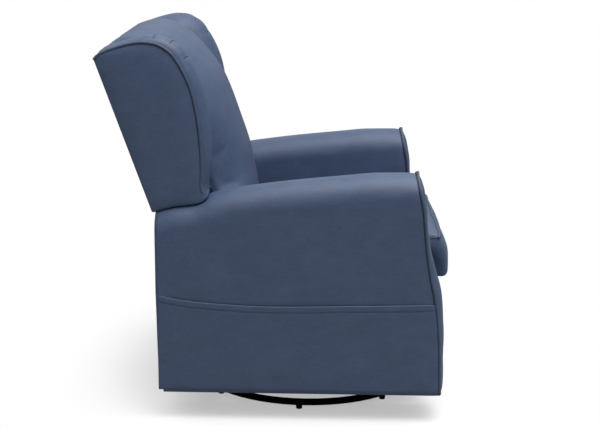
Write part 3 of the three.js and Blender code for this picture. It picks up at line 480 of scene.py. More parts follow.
def ripple(a, b, seed, height):
    """Slight, slow unevenness of stuffed cloth."""
    random = np.random.default_rng(seed)
    total = np.zeros(np.broadcast(a, b).shape)
    for _ in range(7):
        turns, phase = random.uniform(-1, 1, 2) * (0.045, 0.06), random.uniform(0, 2 * math.pi)
        total += np.sin(a * turns[0] + b * turns[1] + phase)
    return total * height / 7 ** 0.5


# Piping and stitches, laid along paths by geometry nodes

def path_tree(name, build):
    """A node tree that turns a path into something sewn along it."""
    tree = bpy.data.node_groups.new(name, "GeometryNodeTree")
    tree.interface.new_socket("Path", in_out="INPUT", socket_type="NodeSocketGeometry")
    for title, value in (("Thickness", 0.003), ("Pitch", 0.006), ("Length", 0.004)):
        socket = tree.interface.new_socket(title, in_out="INPUT", socket_type="NodeSocketFloat")
        socket.default_value = value
    tree.interface.new_socket("Finish", in_out="INPUT", socket_type="NodeSocketMaterial")
    tree.interface.new_socket("Sewn", in_out="OUTPUT", socket_type="NodeSocketGeometry")
    nodes, entry = Nodes(tree), tree.nodes.new("NodeGroupInput")

    def given(title):
        return Value(nodes, entry.outputs[title])

    curve = nodes.node("GeometryNodeMeshToCurve", {}, {"Mesh": given("Path")})
    even = nodes.node("GeometryNodeResampleCurve", {"mode": "LENGTH"}, {
        "Curve": curve, "Length": given("Pitch")})
    real = nodes.node("GeometryNodeRealizeInstances", {}, {"Geometry": build(nodes, given, even)})
    ready = nodes.node("GeometryNodeSetMaterial", {}, {
        "Geometry": real, "Material": given("Finish")})
    nodes.give(tree.nodes.new("NodeGroupOutput").inputs["Sewn"], ready)
    return tree


def build_piping(nodes, given, curve):
    """A round cord along the path."""
    ring = nodes.node("GeometryNodeCurvePrimitiveCircle", {}, {
        "Resolution": 12, "Radius": given("Thickness")})
    return nodes.node("GeometryNodeCurveToMesh", {}, {
        "Curve": curve, "Profile Curve": ring, "Fill Caps": True})


def build_stitches(nodes, given, curve):
    """Short threads in a row along the path."""
    thread = nodes.node("GeometryNodeMeshUVSphere", {}, {"Segments": 6, "Rings": 5, "Radius": 1.0})
    turn = nodes.node("FunctionNodeAlignRotationToVector", {"axis": "Z"}, {
        "Vector": nodes.node("GeometryNodeInputTangent")})
    size = nodes.node("ShaderNodeCombineXYZ", {}, {
        "X": given("Thickness"), "Y": given("Thickness"), "Z": given("Length") * 0.5})
    return nodes.node("GeometryNodeInstanceOnPoints", {}, {
        "Points": curve, "Instance": thread, "Rotation": turn, "Scale": size})


PIPING = path_tree("piping", build_piping)
STITCHES = path_tree("stitches", build_stitches)


def sewn(name, tree, paths, finish, **sizes):
    """Lays piping or stitches along paths (millimetres) and keeps the result as a plain mesh."""
    paths = [metres(path) for path in paths]
    edges, offset = [], 0
    for path in paths:
        edges += [(offset + i, offset + i + 1) for i in range(len(path) - 1)]
        offset += len(path)
    line = bpy.data.meshes.new(name + "_path")
    line.from_pydata(np.concatenate(paths).tolist(), edges, [])
    holder = shown(name + "_path", line)
    modifier = holder.modifiers.new("sewn", "NODES")
    modifier.node_group = tree
    for item in tree.interface.items_tree:
        if item.item_type == "SOCKET" and item.in_out == "INPUT":
            if item.name in sizes:
                modifier[item.identifier] = sizes[item.name]
            elif item.name == "Finish":
                modifier[item.identifier] = finish
    graph = bpy.context.evaluated_depsgraph_get()
    mesh = bpy.data.meshes.new_from_object(holder.evaluated_get(graph), depsgraph=graph)
    holder.modifiers.remove(modifier)
    bpy.data.objects.remove(holder)
    bpy.data.meshes.remove(line)
    mesh.name = name
    mesh.shade_smooth()
    return shown(name, mesh)


def welt(name, paths, body, radius=3.0, finish=welt_linen_painted_shade, pitch=0.004):
    """Covered cord along paths."""
    piece = sewn(name, PIPING, paths, finish, Thickness=radius * 0.001, Pitch=pitch)
    return finished(piece, body)


def crease_shade_line(name, paths, body, radius=1.5, pitch=0.004):
    """A dark cord of painted shade, laid in the crease beside a welt or along a tuck, where shade
    falls.
    """
    return welt(name, paths, body, radius, crease_shade_finish, pitch)


def stitched(name, path, body, slot="cover_fabric", **sizes):
    """A row of stitches along a path."""
    return finished(sewn(name, STITCHES, [path], thread_finish, **sizes), body)


# Padding that swells under its cover

STEPS = 20


def swollen(piece, held, voxel, limit, pressure):
    """Remeshes a piece, lets air pressure swell it, and holds every point near its place."""
    remesh = piece.modifiers.new("remesh", "REMESH")
    remesh.mode, remesh.voxel_size = "VOXEL", voxel
    baked(piece)
    rest = places_of(piece.data)
    cloth = piece.modifiers.new("air", "CLOTH")
    cloth.settings.quality = 4
    cloth.settings.use_pressure = True
    cloth.settings.uniform_pressure_force = pressure
    cloth.settings.effector_weights.gravity = 0
    cloth.settings.tension_stiffness = cloth.settings.compression_stiffness = 18
    cloth.settings.bending_stiffness = 0.6
    cloth.point_cache.frame_start, cloth.point_cache.frame_end = 1, STEPS
    scene = bpy.context.scene
    for step in range(1, STEPS + 1):
        scene.frame_set(step)
    graph = bpy.context.evaluated_depsgraph_get()
    swelling = places_of(piece.evaluated_get(graph).data) - rest
    piece.modifiers.remove(cloth)
    scene.frame_set(1)
    far = np.linalg.norm(swelling, axis=1, keepdims=True) + 1e-9
    move_to(piece.data, rest + swelling * (np.tanh(far / limit) * limit / far))
    smoother = piece.modifiers.new("smoother", "SMOOTH")
    smoother.factor, smoother.iterations = 0.5, 8
    baked(piece)
    move_to(piece.data, held(places_of(piece.data)))
    rounder = piece.modifiers.new("rounder", "SUBSURF")
    rounder.levels = rounder.render_levels = 1
    baked(piece)
    piece.data.shade_smooth()


def baked(piece):
    """Applies a piece's modifiers to its mesh."""
    graph = bpy.context.evaluated_depsgraph_get()
    mesh = bpy.data.meshes.new_from_object(piece.evaluated_get(graph), depsgraph=graph)
    material, old = piece.data.materials[0], piece.data
    piece.modifiers.clear()
    piece.data = mesh
    bpy.data.meshes.remove(old)
    if not mesh.materials:
        mesh.materials.append(material)
    mesh.name = piece.name


def on_surface(piece, points, lift=0.0):
    """Points (millimetres) brought to the nearest place of a piece's skin, then lifted off it."""
    tree = BVHTree.FromObject(piece, bpy.context.evaluated_depsgraph_get())
    found = []
    for point in metres(points):
        place, normal, _, _ = tree.find_nearest(Vector(point))
        found.append([(place.x - AXIS_X) * 1000 + normal.x * lift, place.y * 1000 + normal.y * lift,
                      place.z * 1000 + normal.z * lift])
    return np.array(found)


# Arms: a padded cover with a round crown, a panel on the front and a pocket outside

SIDES = {"left": 1, "right": -1}
WELT = 3.3
BULGE_SHARES = [
    (0, 5.5), (0.04, 7), (0.14, 9.5), (0.23, 11), (0.33, 12.7), (0.42, 15.5), (0.51, 16.2),
    (0.56, 14), (0.61, 11.5), (0.65, 8), (0.7, 5.4), (0.78, 5.6), (0.93, 8), (0.98, 5), (1.01, 1),
]


def aside(points, side):
    """Carries a left-hand shape over to the side asked for."""
    return np.asarray(points, float) * (1, SIDES[side], 1)


def stations(count):
    """Places from -1 to 1 across a piece, closer together towards both ends."""
    return np.sin(np.linspace(-math.pi / 2, math.pi / 2, count))


def section(path, y, place=points_at):
    """A section drawn as [depth, height], at its place across the chair."""
    return place(path[:, 0], y, path[:, 1])


def arm_edge(length_shares, facing):
    """Half of the arm's section, from its foot to its crown, at shares of its length."""
    rise = np.linspace(0, 1, 30)[1:]
    turn = np.linspace(0, math.pi / 2, 16)
    rows = []
    for share in length_shares:
        x = np.full(len(rise) + len(turn), BODY_AHEAD * share - BODY_BEHIND * (1 - share))
        for _ in range(6):
            shoulder = crown_at(x) - CROWN_RADIUS
            z = np.concatenate([
                SKIRT + (shoulder[:len(rise)] - SKIRT) * np.concatenate([[0], rise[:-1]]),
                shoulder[len(rise):] + CROWN_RADIUS * np.sin(turn)])
            back, front = rear_at(z) + 5, front_at(z) + 1.5
            x = back + (front - back) * share
        out = np.concatenate([np.full(len(rise), 1.0), np.cos(turn)])
        full = np.sin(math.pi * np.clip((z - SKIRT) / 500, 0, 1)) ** 0.7
        edge = np.clip((front - x) / 26, 0, 1)
        pull = 2.4 * (1 - edge) ** 2
        slack = ripple(x, z, 11 + int(facing), 0.8) * edge * full
        swell = 1.6 * full * edge - pull + slack
        y = ARM_MIDDLE + facing * (CROWN_RADIUS + swell) * out
        z = z + np.concatenate([np.zeros(len(rise)), np.sin(turn)]) * (slack - pull)
        rows.append(points_at(x, y, z))
    return np.array(rows)


def arm_cover(side):
    lengths = np.concatenate([np.linspace(0, 0.9, 70), np.linspace(0.91, 1, 14)])
    inside, outside = arm_edge(lengths, -1), arm_edge(lengths, 1)
    inside[:, -1] = outside[:, -1] = (inside[:, -1] + outside[:, -1]) / 2
    piece = stuffed(f"arm_cover_padded_{side}", aside(inside, side), aside(outside, side), 12,
                    cover_linen, ((-5, 0, 0), None))
    finished(piece, "seat", f"arm_cover_{side}")


def front_bulge(z):
    """How far the stuffing of an arm's front stands out."""
    return eased(BULGE_SHARES, (z - SKIRT) / (ARM_CROWN - SKIRT))


def panel_half_width(z):
    """Half the width of an arm's front at a height."""
    up = np.clip(z - SHOULDER, 0, CROWN_RADIUS)
    return np.sqrt(np.maximum(CROWN_RADIUS ** 2 - up ** 2, 0))


def arm_front(side):
    turn = np.linspace(0, math.pi / 2, 22)
    z = np.concatenate([
        np.linspace(SKIRT, SHOULDER, 64)[:-1], SHOULDER + CROWN_RADIUS * np.sin(turn)])[:, None]
    place = stations(25)
    y = ARM_MIDDLE + place * panel_half_width(z)
    rim = np.minimum(1, (z - SKIRT) / 16) ** 0.5
    crown = np.minimum(1, np.maximum(0, ARM_CROWN - z) / 18) ** 0.5
    full = (1 - np.abs(place) ** 5) * rim * crown
    x = front_at(z) + 2.5 + (front_bulge(z) + 2 + ripple(y * 2, z, 5, 0.7)) * full
    face, back = points_at(x, y, z), points_at(front_at(z) + 0.4, y, z)
    piece = slab(f"arm_front_padded_{side}", aside(face, side), aside(back, side), cover_linen)
    finished(piece, "seat", f"arm_front_{side}")


def arm_welt(side):
    """The welt round an arm's front, and a dark cord of painted shade in the crease behind it."""
    turn = np.linspace(0, math.pi, 60)
    up = np.linspace(SKIRT + 3, SHOULDER, 90)[:-1]
    straight = np.zeros(len(up))
    radius = CROWN_RADIUS - 1.2
    peak = 3.0 * np.exp(-((turn - math.pi / 2) / 0.3) ** 2)
    round_top = (radius + peak) * np.cos(turn)
    y = ARM_MIDDLE + np.concatenate([straight - radius, -round_top, straight + radius])
    z = np.concatenate([up, SHOULDER + (radius + peak) * np.sin(turn), up[::-1]])
    x = front_at(z) + 2.2 + np.concatenate([straight, peak * 0.8, straight])
    line = points_at(x, y, z)
    welt(f"arm_front_welt_{side}", [aside(line, side)], "seat", WELT)
    # The cord below is painted shade: a dark line in the crease behind the welt.
    line[:, 0] -= WELT + 0.6
    line[:, 1] = ARM_MIDDLE + (line[:, 1] - ARM_MIDDLE) * 1.002
    crease_shade_line(f"arm_front_seam_{side}", [aside(line, side)], "seat")


HEM_SHARES = [(0, 1), (0.09, 0.55), (0.2, 0.25), (0.42, 0), (0.66, 0.14), (0.86, 0.26), (1, 0.35)]
HEM_DEPTH = 16
POCKET_FROM, POCKET_TOP, POCKET_SAG, POCKET_FOOT = -368.5, 300.0, 25.0, 78.0


def hem_at(share):
    """Height of the pocket's hem at a share of its length."""
    return POCKET_TOP + POCKET_SAG * eased(HEM_SHARES, share)


def pocket_surface(share, rise):
    """Outer face of the pocket at shares of its length and height."""
    top = hem_at(share)
    z = POCKET_FOOT + (top - POCKET_FOOT) * rise
    x = POCKET_FROM + (front_at(z) - 1.5 - POCKET_FROM) * share
    ends = np.minimum(1, np.minimum(share, 1 - share) * 18)
    foot = np.minimum(1, rise * 5)
    gape = 3.2 * np.sin(math.pi * share) ** 0.8 * rise ** 3
    folds = (np.sin(share * 23 + 0.8 * rise) + np.sin(share * 41 + 2 * rise)) * 0.5 * rise
    full = (3.2 + gape + 0.7 * folds) * (ends * foot) ** 0.5
    hem_pull = -1.1 * np.exp(-(((top - z) - HEM_DEPTH) / 2.2) ** 2)
    return points_at(x, OUTER + 1.8 + full + hem_pull + ripple(x, z, 31, 0.35) * ends, z)


def side_pocket(side):
    rise = np.concatenate([np.linspace(0, 0.88, 34), np.linspace(0.885, 1, 24)])[:, None]
    face = pocket_surface(np.linspace(0, 1, 141), rise)
    face[..., 1] -= 1.2 * (1 - np.minimum(1, (1 - rise) * 90) ** 0.5)
    back = face.copy()
    back[..., 1] = np.maximum(face[..., 1] - 3.0, OUTER + 0.6)
    piece = slab(f"side_pocket_cloth_{side}", aside(face, side), aside(back, side), cover_linen)
    finished(piece, "seat", f"side_pocket_{side}")
    along = np.linspace(0.012, 0.988, 120)
    hem = pocket_surface(along, 1 - HEM_DEPTH / (hem_at(along) - POCKET_FOOT))
    hem[:, 1] += 0.5
    stitched(f"pocket_hem_stitch_{side}", aside(hem, side), "seat",
             Thickness=0.0007, Pitch=0.0055, Length=0.0042)


for side in SIDES:
    arm_cover(side)
    arm_front(side)
    arm_welt(side)
    side_pocket(side)


# Wings: a side panel, a padded border and an inner face, with a welt at the panel's edge

FRAME_FROM, FRAME_TO = 8.3, 45.3
WING_LIFT, WING_EDGE, PANEL_REAR = 5.0, 357.0, -2.0
WING_WIDTH = WING_EDGE - WING_INNER
WING_FOOT = [(128, 10), (107, 0), (59, 0), (8.3, 0)]
# At places of the outline: [depth, up] by the side panel and by the pillow, and the bulge there
WING_LINE = [
    (132, 0, 128, 0, 15), (134, 21, 130, 21, 19), (149, 58, 146, 58, 23), (162, 95, 160, 95, 24),
    (173, 133, 170, 133, 24), (182, 172, 177, 172, 25), (189, 211, 181, 211, 26),
    (193, 250, 181, 248, 27), (191, 292, 176, 286, 28), (180, 345, 160, 336, 29),
    (167, 367, 146, 362, 28), (152, 382, 133, 376, 24), (136, 391.5, 118, 388, 18),
    (118, 398.5, 100, 398, 13), (99, 403, 82, 405, 9), (79, 405.4, 64, 410, 7),
    (59, 406.3, 48, 413, 6), (39, 407, 32, 414, 6), (19, 405, 18, 412, 5),
    (7.5, 402.5, 9.5, 408, 5), (-2, 397, 2, 403, 3),
]
WING_STATIONS = [
    (0, 0), (0.08, 0.2), (0.25, 0.7), (0.45, 1), (0.62, 1), (0.8, 0.85), (0.92, 0.55),
    (0.975, 0.28), (1, 0),
]
WING_MIDDLE = (60.0, 180.0)
TUCKS = [(145, 387), (171, 361), (187, 323)]


def above_arm(depth, y):
    """Height up the back that clears the arm's top."""
    def fall(at):
        off = min(abs(at - ARM_MIDDLE), CROWN_RADIUS)
        return CROWN_RADIUS - math.sqrt(CROWN_RADIUS ** 2 - off ** 2)

    drop = min(fall(y), fall(WING_OUTER))
    up = 0.0
    for _ in range(6):
        z = crown_at(leaned(depth, 0, up)[..., 0]) - drop + WING_LIFT
        up = (z - BACK_FOOT[1] - depth * math.sin(RAKE)) / math.cos(RAKE)
    return float(up)


def outwards(path):
    """Unit vectors square to a path that runs up the front and back along the top."""
    turned = np.gradient(path, axis=0) @ np.array([[0, -1], [1, 0]])
    return turned / np.maximum(np.linalg.norm(turned, axis=1, keepdims=True), 1e-9)


def wing_edges(place):
    """The wing's outline at a share of its width: foot to top by the front, and by the rear."""
    y = WING_INNER + place * WING_WIDTH
    swelling = float(eased(WING_STATIONS, place))
    inward = (1 - place) ** 1.8
    foot = [(deep + push * swelling, above_arm(deep + push * swelling, y))
            for deep, push in WING_FOOT]
    line = np.array(WING_LINE, float)
    front = np.concatenate([foot[:1], line[:, :2] + (line[:, 2:4] - line[:, :2]) * inward])
    front = smooth_path(front, 96)
    nearest = np.linalg.norm(front[:, None] - line[:, :2], axis=2).argmin(1)
    bulge = np.convolve(np.pad(line[nearest, 4], 5, "edge"), np.full(11, 1 / 11), "valid")
    front = front + outwards(front) * (bulge * swelling)[:, None]
    at_panel = float(eased([(0.9, 0), (0.955, 1), (1, 1)], place))
    behind = FRAME_FROM + (PANEL_REAR - FRAME_FROM) * at_panel
    front[:, 0] = np.maximum(front[:, 0], behind)
    foot[-1] = (behind, foot[-1][1])
    rear = evenly(foot, 12).tolist() + evenly([foot[-1], front[-1]], 40).tolist()[1:]
    return front, evenly(rear, 96), y


def wing(side):
    """A wing with the welt of its side panel and the tucks in its top; a dark cord of painted shade
    lies in the crease beside the welt and along each tuck.
    """
    edge, _, edge_y = wing_edges(1)
    tucks_at = [np.linalg.norm(edge - at, axis=1).argmin() / (len(edge) - 1)
                for at in np.array(TUCKS)]
    fronts, rears = [], []
    for place in 0.5 - 0.5 * np.cos(np.linspace(0, math.pi, 35)):
        front, rear, y = wing_edges(place)
        share = np.linspace(0, 1, len(front))
        width = WING_WIDTH * (1 - place)
        dent = sum(np.exp(-((share - at) / 0.008) ** 2) for at in tucks_at)
        dent = dent * 2.6 * np.exp(-((width - 34) / 24) ** 2)
        loose = ripple(share * 300, width * 1.5, 41, 0.9) * math.sin(math.pi * place)
        front = front + outwards(front) * (loose * np.sin(math.pi * share) - dent)[:, None]
        fronts.append(section(front, y, leaned))
        rears.append(section(rear, y, leaned))
    puffs = aside([(0, -0.5, 0), (0, 8.0, 0)], side)
    piece = stuffed(f"wing_padded_{side}", aside(fronts, side), aside(rears, side), 26,
                    cover_linen, puffs)
    finished(piece, "back", f"wing_{side}", lean=RAKE)

    outward = edge[4:] - WING_MIDDLE
    outward /= np.linalg.norm(outward, axis=1, keepdims=True)

    def beside(out, lift):
        """A line along the panel's edge, moved outwards and lifted off it."""
        line = section(edge[4:] + outward * out, edge_y + lift, leaned)
        return aside(smooth_path(line, 260), side)

    welt(f"wing_welt_{side}", [beside(0.4, 0.6)], "back", WELT)
    # A dark cord of painted shade in the crease beside the welt, on the side panel.
    crease_shade_line(f"wing_seam_{side}", [beside(-WELT - 0.4, 0.5)], "back")
    # Each tuck gets a short dark cord of painted shade along its fold.
    tucks = []
    for at in tucks_at:
        line = []
        for width in np.linspace(12, 56, 9):
            front, _, y = wing_edges(1 - width / WING_WIDTH)
            i = at * (len(front) - 1)
            point = front[int(i)] + (front[int(i) + 1] - front[int(i)]) * (i % 1)
            line.append(leaned(point[0], y, point[1]))
        tucks.append(on_surface(piece, aside(line, side), 0.2))
    crease_shade_line(f"wing_tucks_{side}", tucks, "back", 1.2, 0.003)


for side in SIDES:
    wing(side)


# Inner back: a thick pillow between the wings

BACK_DROP, PILLOW_HALF = 188.0, 248.2
FRAME_TOP = 0.87 * WING_HEIGHT
# From the top of its rear over its front to its foot: [depth, up] in the middle and at the sides
PILLOW_LINE = [
    (9.3, 412, 9.3, 408), (16, 418.5, 16, 414.5), (32, 421.5, 30, 417), (60, 422.5, 55, 413.5),
    (90, 420.5, 80, 406.5), (116, 418, 101, 398.5), (136, 410, 121, 387.5), (155, 400, 136, 374),
    (183, 373, 151, 358), (207, 337, 168, 324), (222, 301, 177, 290), (233, 272, 182, 262),
    (239.5, 250, 185, 240), (245, 214, 188, 206), (247, 170, 190, 165), (247, 120, 185, 118),
    (247, 60, 171, 60), (245, 15, 164, 15), (239, -20, 168, -20), (230, -80, 188, -80),
    (209, -143, 192, -143), (173, -190, 157, -189), (124, -203, 106, -201),
]
PILLOW_FOOT, PILLOW_SIDE_TOP = -203.0, 385


def back_pillow():
    smaller = 5.0
    line = np.array(PILLOW_LINE, float)
    fronts, rears = [], []
    for share in stations(41):
        front = line[:, :2] + (line[:, 2:] - line[:, :2]) * abs(share) ** 2.3
        front[3:, 0] -= smaller * np.where(front[3:, 1] < PILLOW_SIDE_TOP, 2.3, 1)
        front[1:4, 1] -= smaller * 0.6
        front = [*front.tolist(), (FRAME_TO + 2, PILLOW_FOOT)]
        rear = [front[0], (FRAME_FROM + 1, FRAME_TOP + 1.5), (FRAME_TO + 1.5, FRAME_TOP + 1.5),
                front[-1]]
        y = share * (PILLOW_HALF - smaller * 0.6)
        fronts.append(section(smooth_path(front, 90), y, leaned))
        rears.append(section(evenly(rear, 90), y, leaned))
    piece = stuffed("back_pillow_padded", fronts, rears, 12, cover_linen)

    def held(places):
        """Keeps the pillow before the back's frame and between the wings."""
        turned = places * 1000
        turned[:, 0] -= AXIS_X * 1000
        x, z = turned[:, 0] - BACK_FOOT[0], turned[:, 2] - BACK_FOOT[1]
        depth = x * math.cos(RAKE) + z * math.sin(RAKE)
        up = z * math.cos(RAKE) - x * math.sin(RAKE)
        behind = np.where(up > FRAME_TOP + 1, FRAME_FROM + 0.4, FRAME_TO + 0.6)
        depth = np.maximum(depth, np.minimum(behind, depth + 12))
        y = np.clip(turned[:, 1], -PILLOW_HALF - 0.8, PILLOW_HALF + 0.8)
        return metres(leaned(depth, y, up))

    swollen(piece, held, voxel=0.007, limit=0.012, pressure=4.0)
    finished(piece, "back", "back_pillow", lean=RAKE)


back_pillow()


# Seat cushion: a crowned pad with boxed sides and a lip over the front rail

CUSHION_REAR, CUSHION_NOSE, CUSHION_HALF, CUSHION_LOW = -125.0, 362.0, 253.0, 347.6
CUSHION_LENGTH, CUSHION_THICK = CUSHION_NOSE - CUSHION_REAR, SEAT_FRONT - CUSHION_LOW
CUSHION_CROWN, CUSHION_LIP, CUSHION_DRAW = 24.0, 16.0, 7.0
# How far it may swell, in metres
CUSHION_WIDEST, CUSHION_AHEAD = 0.2534, 0.3745
CUSHION_LEAST, CUSHION_LIP_LEAST, CUSHION_LIP_FROM = 0.3478, 0.3285, 0.316
# Shares of its length and thickness, then of its crown along the top and of its lip below
CUSHION_TOP_SHARES = [
    (0.006, 0.95, 0), (0.06, 1, 0.45), (0.2, 1, 0.85), (0.42, 1, 1), (0.62, 1, 0.92),
    (0.8, 1, 0.62), (0.91, 1, 0.3), (0.957, 1, 0),
]
CUSHION_NOSE_SHARES = [
    (0.957, 1, 0), (0.982, 0.76, 0), (1.002, 0.38, 0), (1.011, 0.05, 0), (1.012, 0, 0.5),
    (0.985, 0, 1), (0.93, 0, 0.75), (0.916, 0, 0), (0.46, 0, 0), (0.015, 0, 0),
]


def cushion_ring(share, smaller):
    """Upper and lower edge of the cushion (x, z) at a share of its half width."""
    full = 1 - abs(share) ** 6
    draw = CUSHION_DRAW * (1 - full) + smaller
    ahead = smaller * 2.2 - draw

    def along(deep):
        return CUSHION_REAR + deep * CUSHION_LENGTH + (ahead if deep > 0.5 else draw)

    upper = [(along(0), CUSHION_LOW + 0.5 * CUSHION_THICK)]
    upper += [(along(deep), CUSHION_LOW + rise * CUSHION_THICK + crown * CUSHION_CROWN * full
               - draw * 0.6) for deep, rise, crown in CUSHION_TOP_SHARES]
    lower = [(along(deep), CUSHION_LOW + rise * CUSHION_THICK - lip * CUSHION_LIP
              - (draw * 0.6 if rise > 0.5 else 0)) for deep, rise, lip in CUSHION_NOSE_SHARES]
    return upper, lower


def seat_cushion():
    smaller = 4.0
    uppers, lowers = [], []
    for share in stations(45):
        upper, lower = cushion_ring(share, smaller)
        y = share * (CUSHION_HALF - smaller)
        top = np.concatenate([smooth_path(upper, 70), smooth_path(lower[:6], 30)[1:]])
        low = np.concatenate([[upper[0]], [lower[-1]], lower[5:-1][::-1]])
        uppers.append(section(evenly(top, 96), y))
        lowers.append(section(evenly(low, 96), y))
    piece = stuffed("seat_cushion_padded", uppers, lowers, 14, cover_linen)

    def held(places):
        """Keeps the cushion between the arms, above the seat and off the footrest pad."""
        x, y, z = places.T
        low = np.where(x - AXIS_X < CUSHION_LIP_FROM, CUSHION_LEAST, CUSHION_LIP_LEAST)
        z = np.maximum(z, np.minimum(low, z + 0.02))
        return points_at(np.minimum(x, AXIS_X + CUSHION_AHEAD),
                         np.clip(y, -CUSHION_WIDEST, CUSHION_WIDEST), z)

    swollen(piece, held, voxel=0.006, limit=0.012, pressure=4.0)
    return finished(piece, "seat", "seat_cushion")


def cushion_welt_and_crease_shades(cushion):
    """The welt along the front of the top, and dark cords of painted shade in the crease under it
    and along the cushion's sides.
    """
    front, sides = [], []
    for share in stations(81):
        upper, _ = cushion_ring(share, 0)
        front.append((upper[-1][0] + 1, share * CUSHION_HALF, upper[-1][1] + 1))
    shares = np.array(CUSHION_TOP_SHARES)
    deep = np.linspace(0.02, 0.957, 80)
    x = CUSHION_REAR + deep * CUSHION_LENGTH - CUSHION_DRAW * (deep > 0.5)
    rise = np.interp(deep, shares[:, 0], shares[:, 1])
    z = CUSHION_LOW + rise * CUSHION_THICK - CUSHION_DRAW * 0.6 - 1
    for facing in (-1, 1):
        sides.append(on_surface(cushion, points_at(x, facing * (CUSHION_HALF + 1), z)))
    welt("cushion_front_welt", [on_surface(cushion, front, 1.6)], "seat")
    # The cords below are painted shade: dark lines in the crease under the front welt and along the
    # sides.
    under = np.array(front) - (0.5, 0, 7.5)
    crease_shade_line("cushion_front_crease_shade", [on_surface(cushion, under, 0.2)], "seat", 1.6)
    crease_shade_line("cushion_side_crease_shades", sides, "seat", 1.4)


cushion_welt_and_crease_shades(seat_cushion())


# Footrest pad, closed under the seat's nose

PAD_REAR, PAD_THICK, PAD_CROWN, PAD_EDGE = 290.3, 34.0, 6.0, 8.0
PAD_HALF, PAD_LOW, PAD_HIGH = 252.0, 80.0, 322.0
# The least and the most that it may swell to, in metres
PAD_REACH = [(0.2902, -0.2526, 0.0795), (0.332, 0.2526, 0.3225)]


def footrest_pad():
    smaller = 3.0
    fronts, rears = [], []
    for share in stations(41):
        full = 1 - abs(share) ** 6
        rim = PAD_EDGE * (1 - full) + smaller
        front = PAD_REAR + PAD_THICK - rim
        crown = front + PAD_CROWN * full
        low, high = PAD_LOW + rim, PAD_HIGH - rim
        quarter = (high - low) / 4
        line = [(PAD_REAR, low), (front - PAD_EDGE, low), (front - 2, low + 2),
                (front, low + PAD_EDGE), (crown, low + quarter), (crown, high - quarter),
                (front, high - PAD_EDGE), (front - 2, high - 2), (front - PAD_EDGE, high),
                (PAD_REAR, high)]
        line, y = smooth_path(line, 60), share * (PAD_HALF - smaller)
        fronts.append(section(line, y))
        rears.append(section(evenly([line[0], line[-1]], 60), y))
    piece = stuffed("footrest_pad_padded", fronts, rears, 8, cover_linen)

    def held(places):
        """Keeps the pad on its board and clear of the arms, the cushion and the base."""
        return np.clip(places, *(np.array(PAD_REACH) + (AXIS_X, 0, 0)))

    swollen(piece, held, voxel=0.006, limit=0.008, pressure=3.0)
    finished(piece, "footrest", "footrest_pad")


footrest_pad()


# Outer back and rear panel: boards under tight cloth

BACK_HALF, BACK_TOP, BACK_TOP_RISE, BACK_BOARD, FOOT_HALF = 349.0, 394, 13, 7.7, 250.25
REAR_HALF, REAR_TOP, REAR_FACE, REAR_BOARD = 261.5, 334, -366.5, -356.6


def drawn_tight(distance, soft):
    """0 at a cloth's edge, where it is drawn in, and 1 away from it."""
    return 1 - np.exp(-np.maximum(distance, 0) / soft)


def outer_back():
    beside = np.linspace(FOOT_HALF + 0.05, BACK_HALF, 16)
    foot = np.linspace(0.05 - FOOT_HALF, FOOT_HALF - 0.05, 61)
    across = np.concatenate([-beside[::-1], foot, beside])
    low = np.array([-BACK_DROP if abs(y) < FOOT_HALF else above_arm(0, max(abs(y), ARM_MIDDLE))
                    for y in across])
    high = BACK_TOP + BACK_TOP_RISE * (1 - (across / BACK_HALF) ** 2)
    rise = (0.5 - 0.5 * np.cos(np.linspace(0, math.pi, 60)))[:, None]
    up = low + (high - low) * rise
    y = np.broadcast_to(across, up.shape)
    full = drawn_tight(np.minimum.reduce([up - low, high - up, BACK_HALF - np.abs(y)]), 14)
    face = leaned(-1.8 - 3.6 * full - ripple(y, up, 61, 0.5) * full, y, up)
    piece = slab("outer_back_cover", face, leaned(BACK_BOARD, y, up), board_linen)
    finished(piece, "back", "outer_back", RAKE)


def rear_panel():
    y, z = np.meshgrid(np.linspace(-REAR_HALF, REAR_HALF, 61), np.linspace(SKIRT, REAR_TOP, 41))
    full = drawn_tight(np.minimum.reduce([REAR_HALF - np.abs(y), z - SKIRT, REAR_TOP - z]), 12)
    face = points_at(REAR_FACE - 2.6 * full - ripple(y, z, 71, 0.4) * full, y, z)
    piece = slab("rear_panel_cover", face, points_at(REAR_BOARD, y, z), board_linen)
    finished(piece, "seat", "rear_panel")


outer_back()
rear_panel()


# Release: a webbing loop with a sewn box

def release_strap():
    low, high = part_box("release_strap")
    x0, x1 = ((v - AXIS_X) * 1000 for v in (low.x, high.x))
    y0, y1, z0, z1 = low.y * 1000, high.y * 1000, low.z * 1000, high.z * 1000
    across, along = np.meshgrid(np.linspace(0, 1, 13), np.linspace(0, 1, 90))
    edge = np.minimum(1, np.minimum(across, 1 - across) * 9) ** 0.5
    x, z = x0 + across * (x1 - x0), z0 + along * (z1 - z0)
    middle, half = (y0 + y1) / 2, 1.45 * edge + 0.05
    piece = slab("release_strap_webbing", points_at(x, middle - half, z),
                 points_at(x, middle + half, z), strap_webbing)
    finished(piece, "release", "release_strap")
    bottom, top, left, right = z1 - 46, z1 - 8, x0 + 5, x1 - 5
    box = evenly([(left, bottom), (right, bottom), (right, top), (left, top), (left, bottom),
                  (right, top)], 120)
    for name, y in (("outer", y0 - 0.1), ("inner", y1 + 0.1)):
        stitched(f"strap_box_stitch_{name}", section(box, y), "release", "strap_webbing",
                 Thickness=0.0006, Pitch=0.0035, Length=0.0027)


release_strap()


# Floor, light and camera

FLOOR_HALF = 9
CHAIR_OVAL, FADE_FROM, FADE_TO = (1.35, 0.8, 1), 0.42, 0.95
DOME_ROUND, DOME_OVERHEAD, SHINE_ROUND, SHINE_BEHIND = 0.1, 1.5, -0.8, 1.35
LAMP_PLACE, LAMP_AIM, LAMP_SIZE, LAMP_POWER = (0.9, -0.8, 3.8), (0.0, 0.0, 0.5), (3.0, 2.6), 200.0
EYE, YAW, PITCH = (0.0917, -3.5027, 1.276), math.radians(2.5), math.radians(13.38)


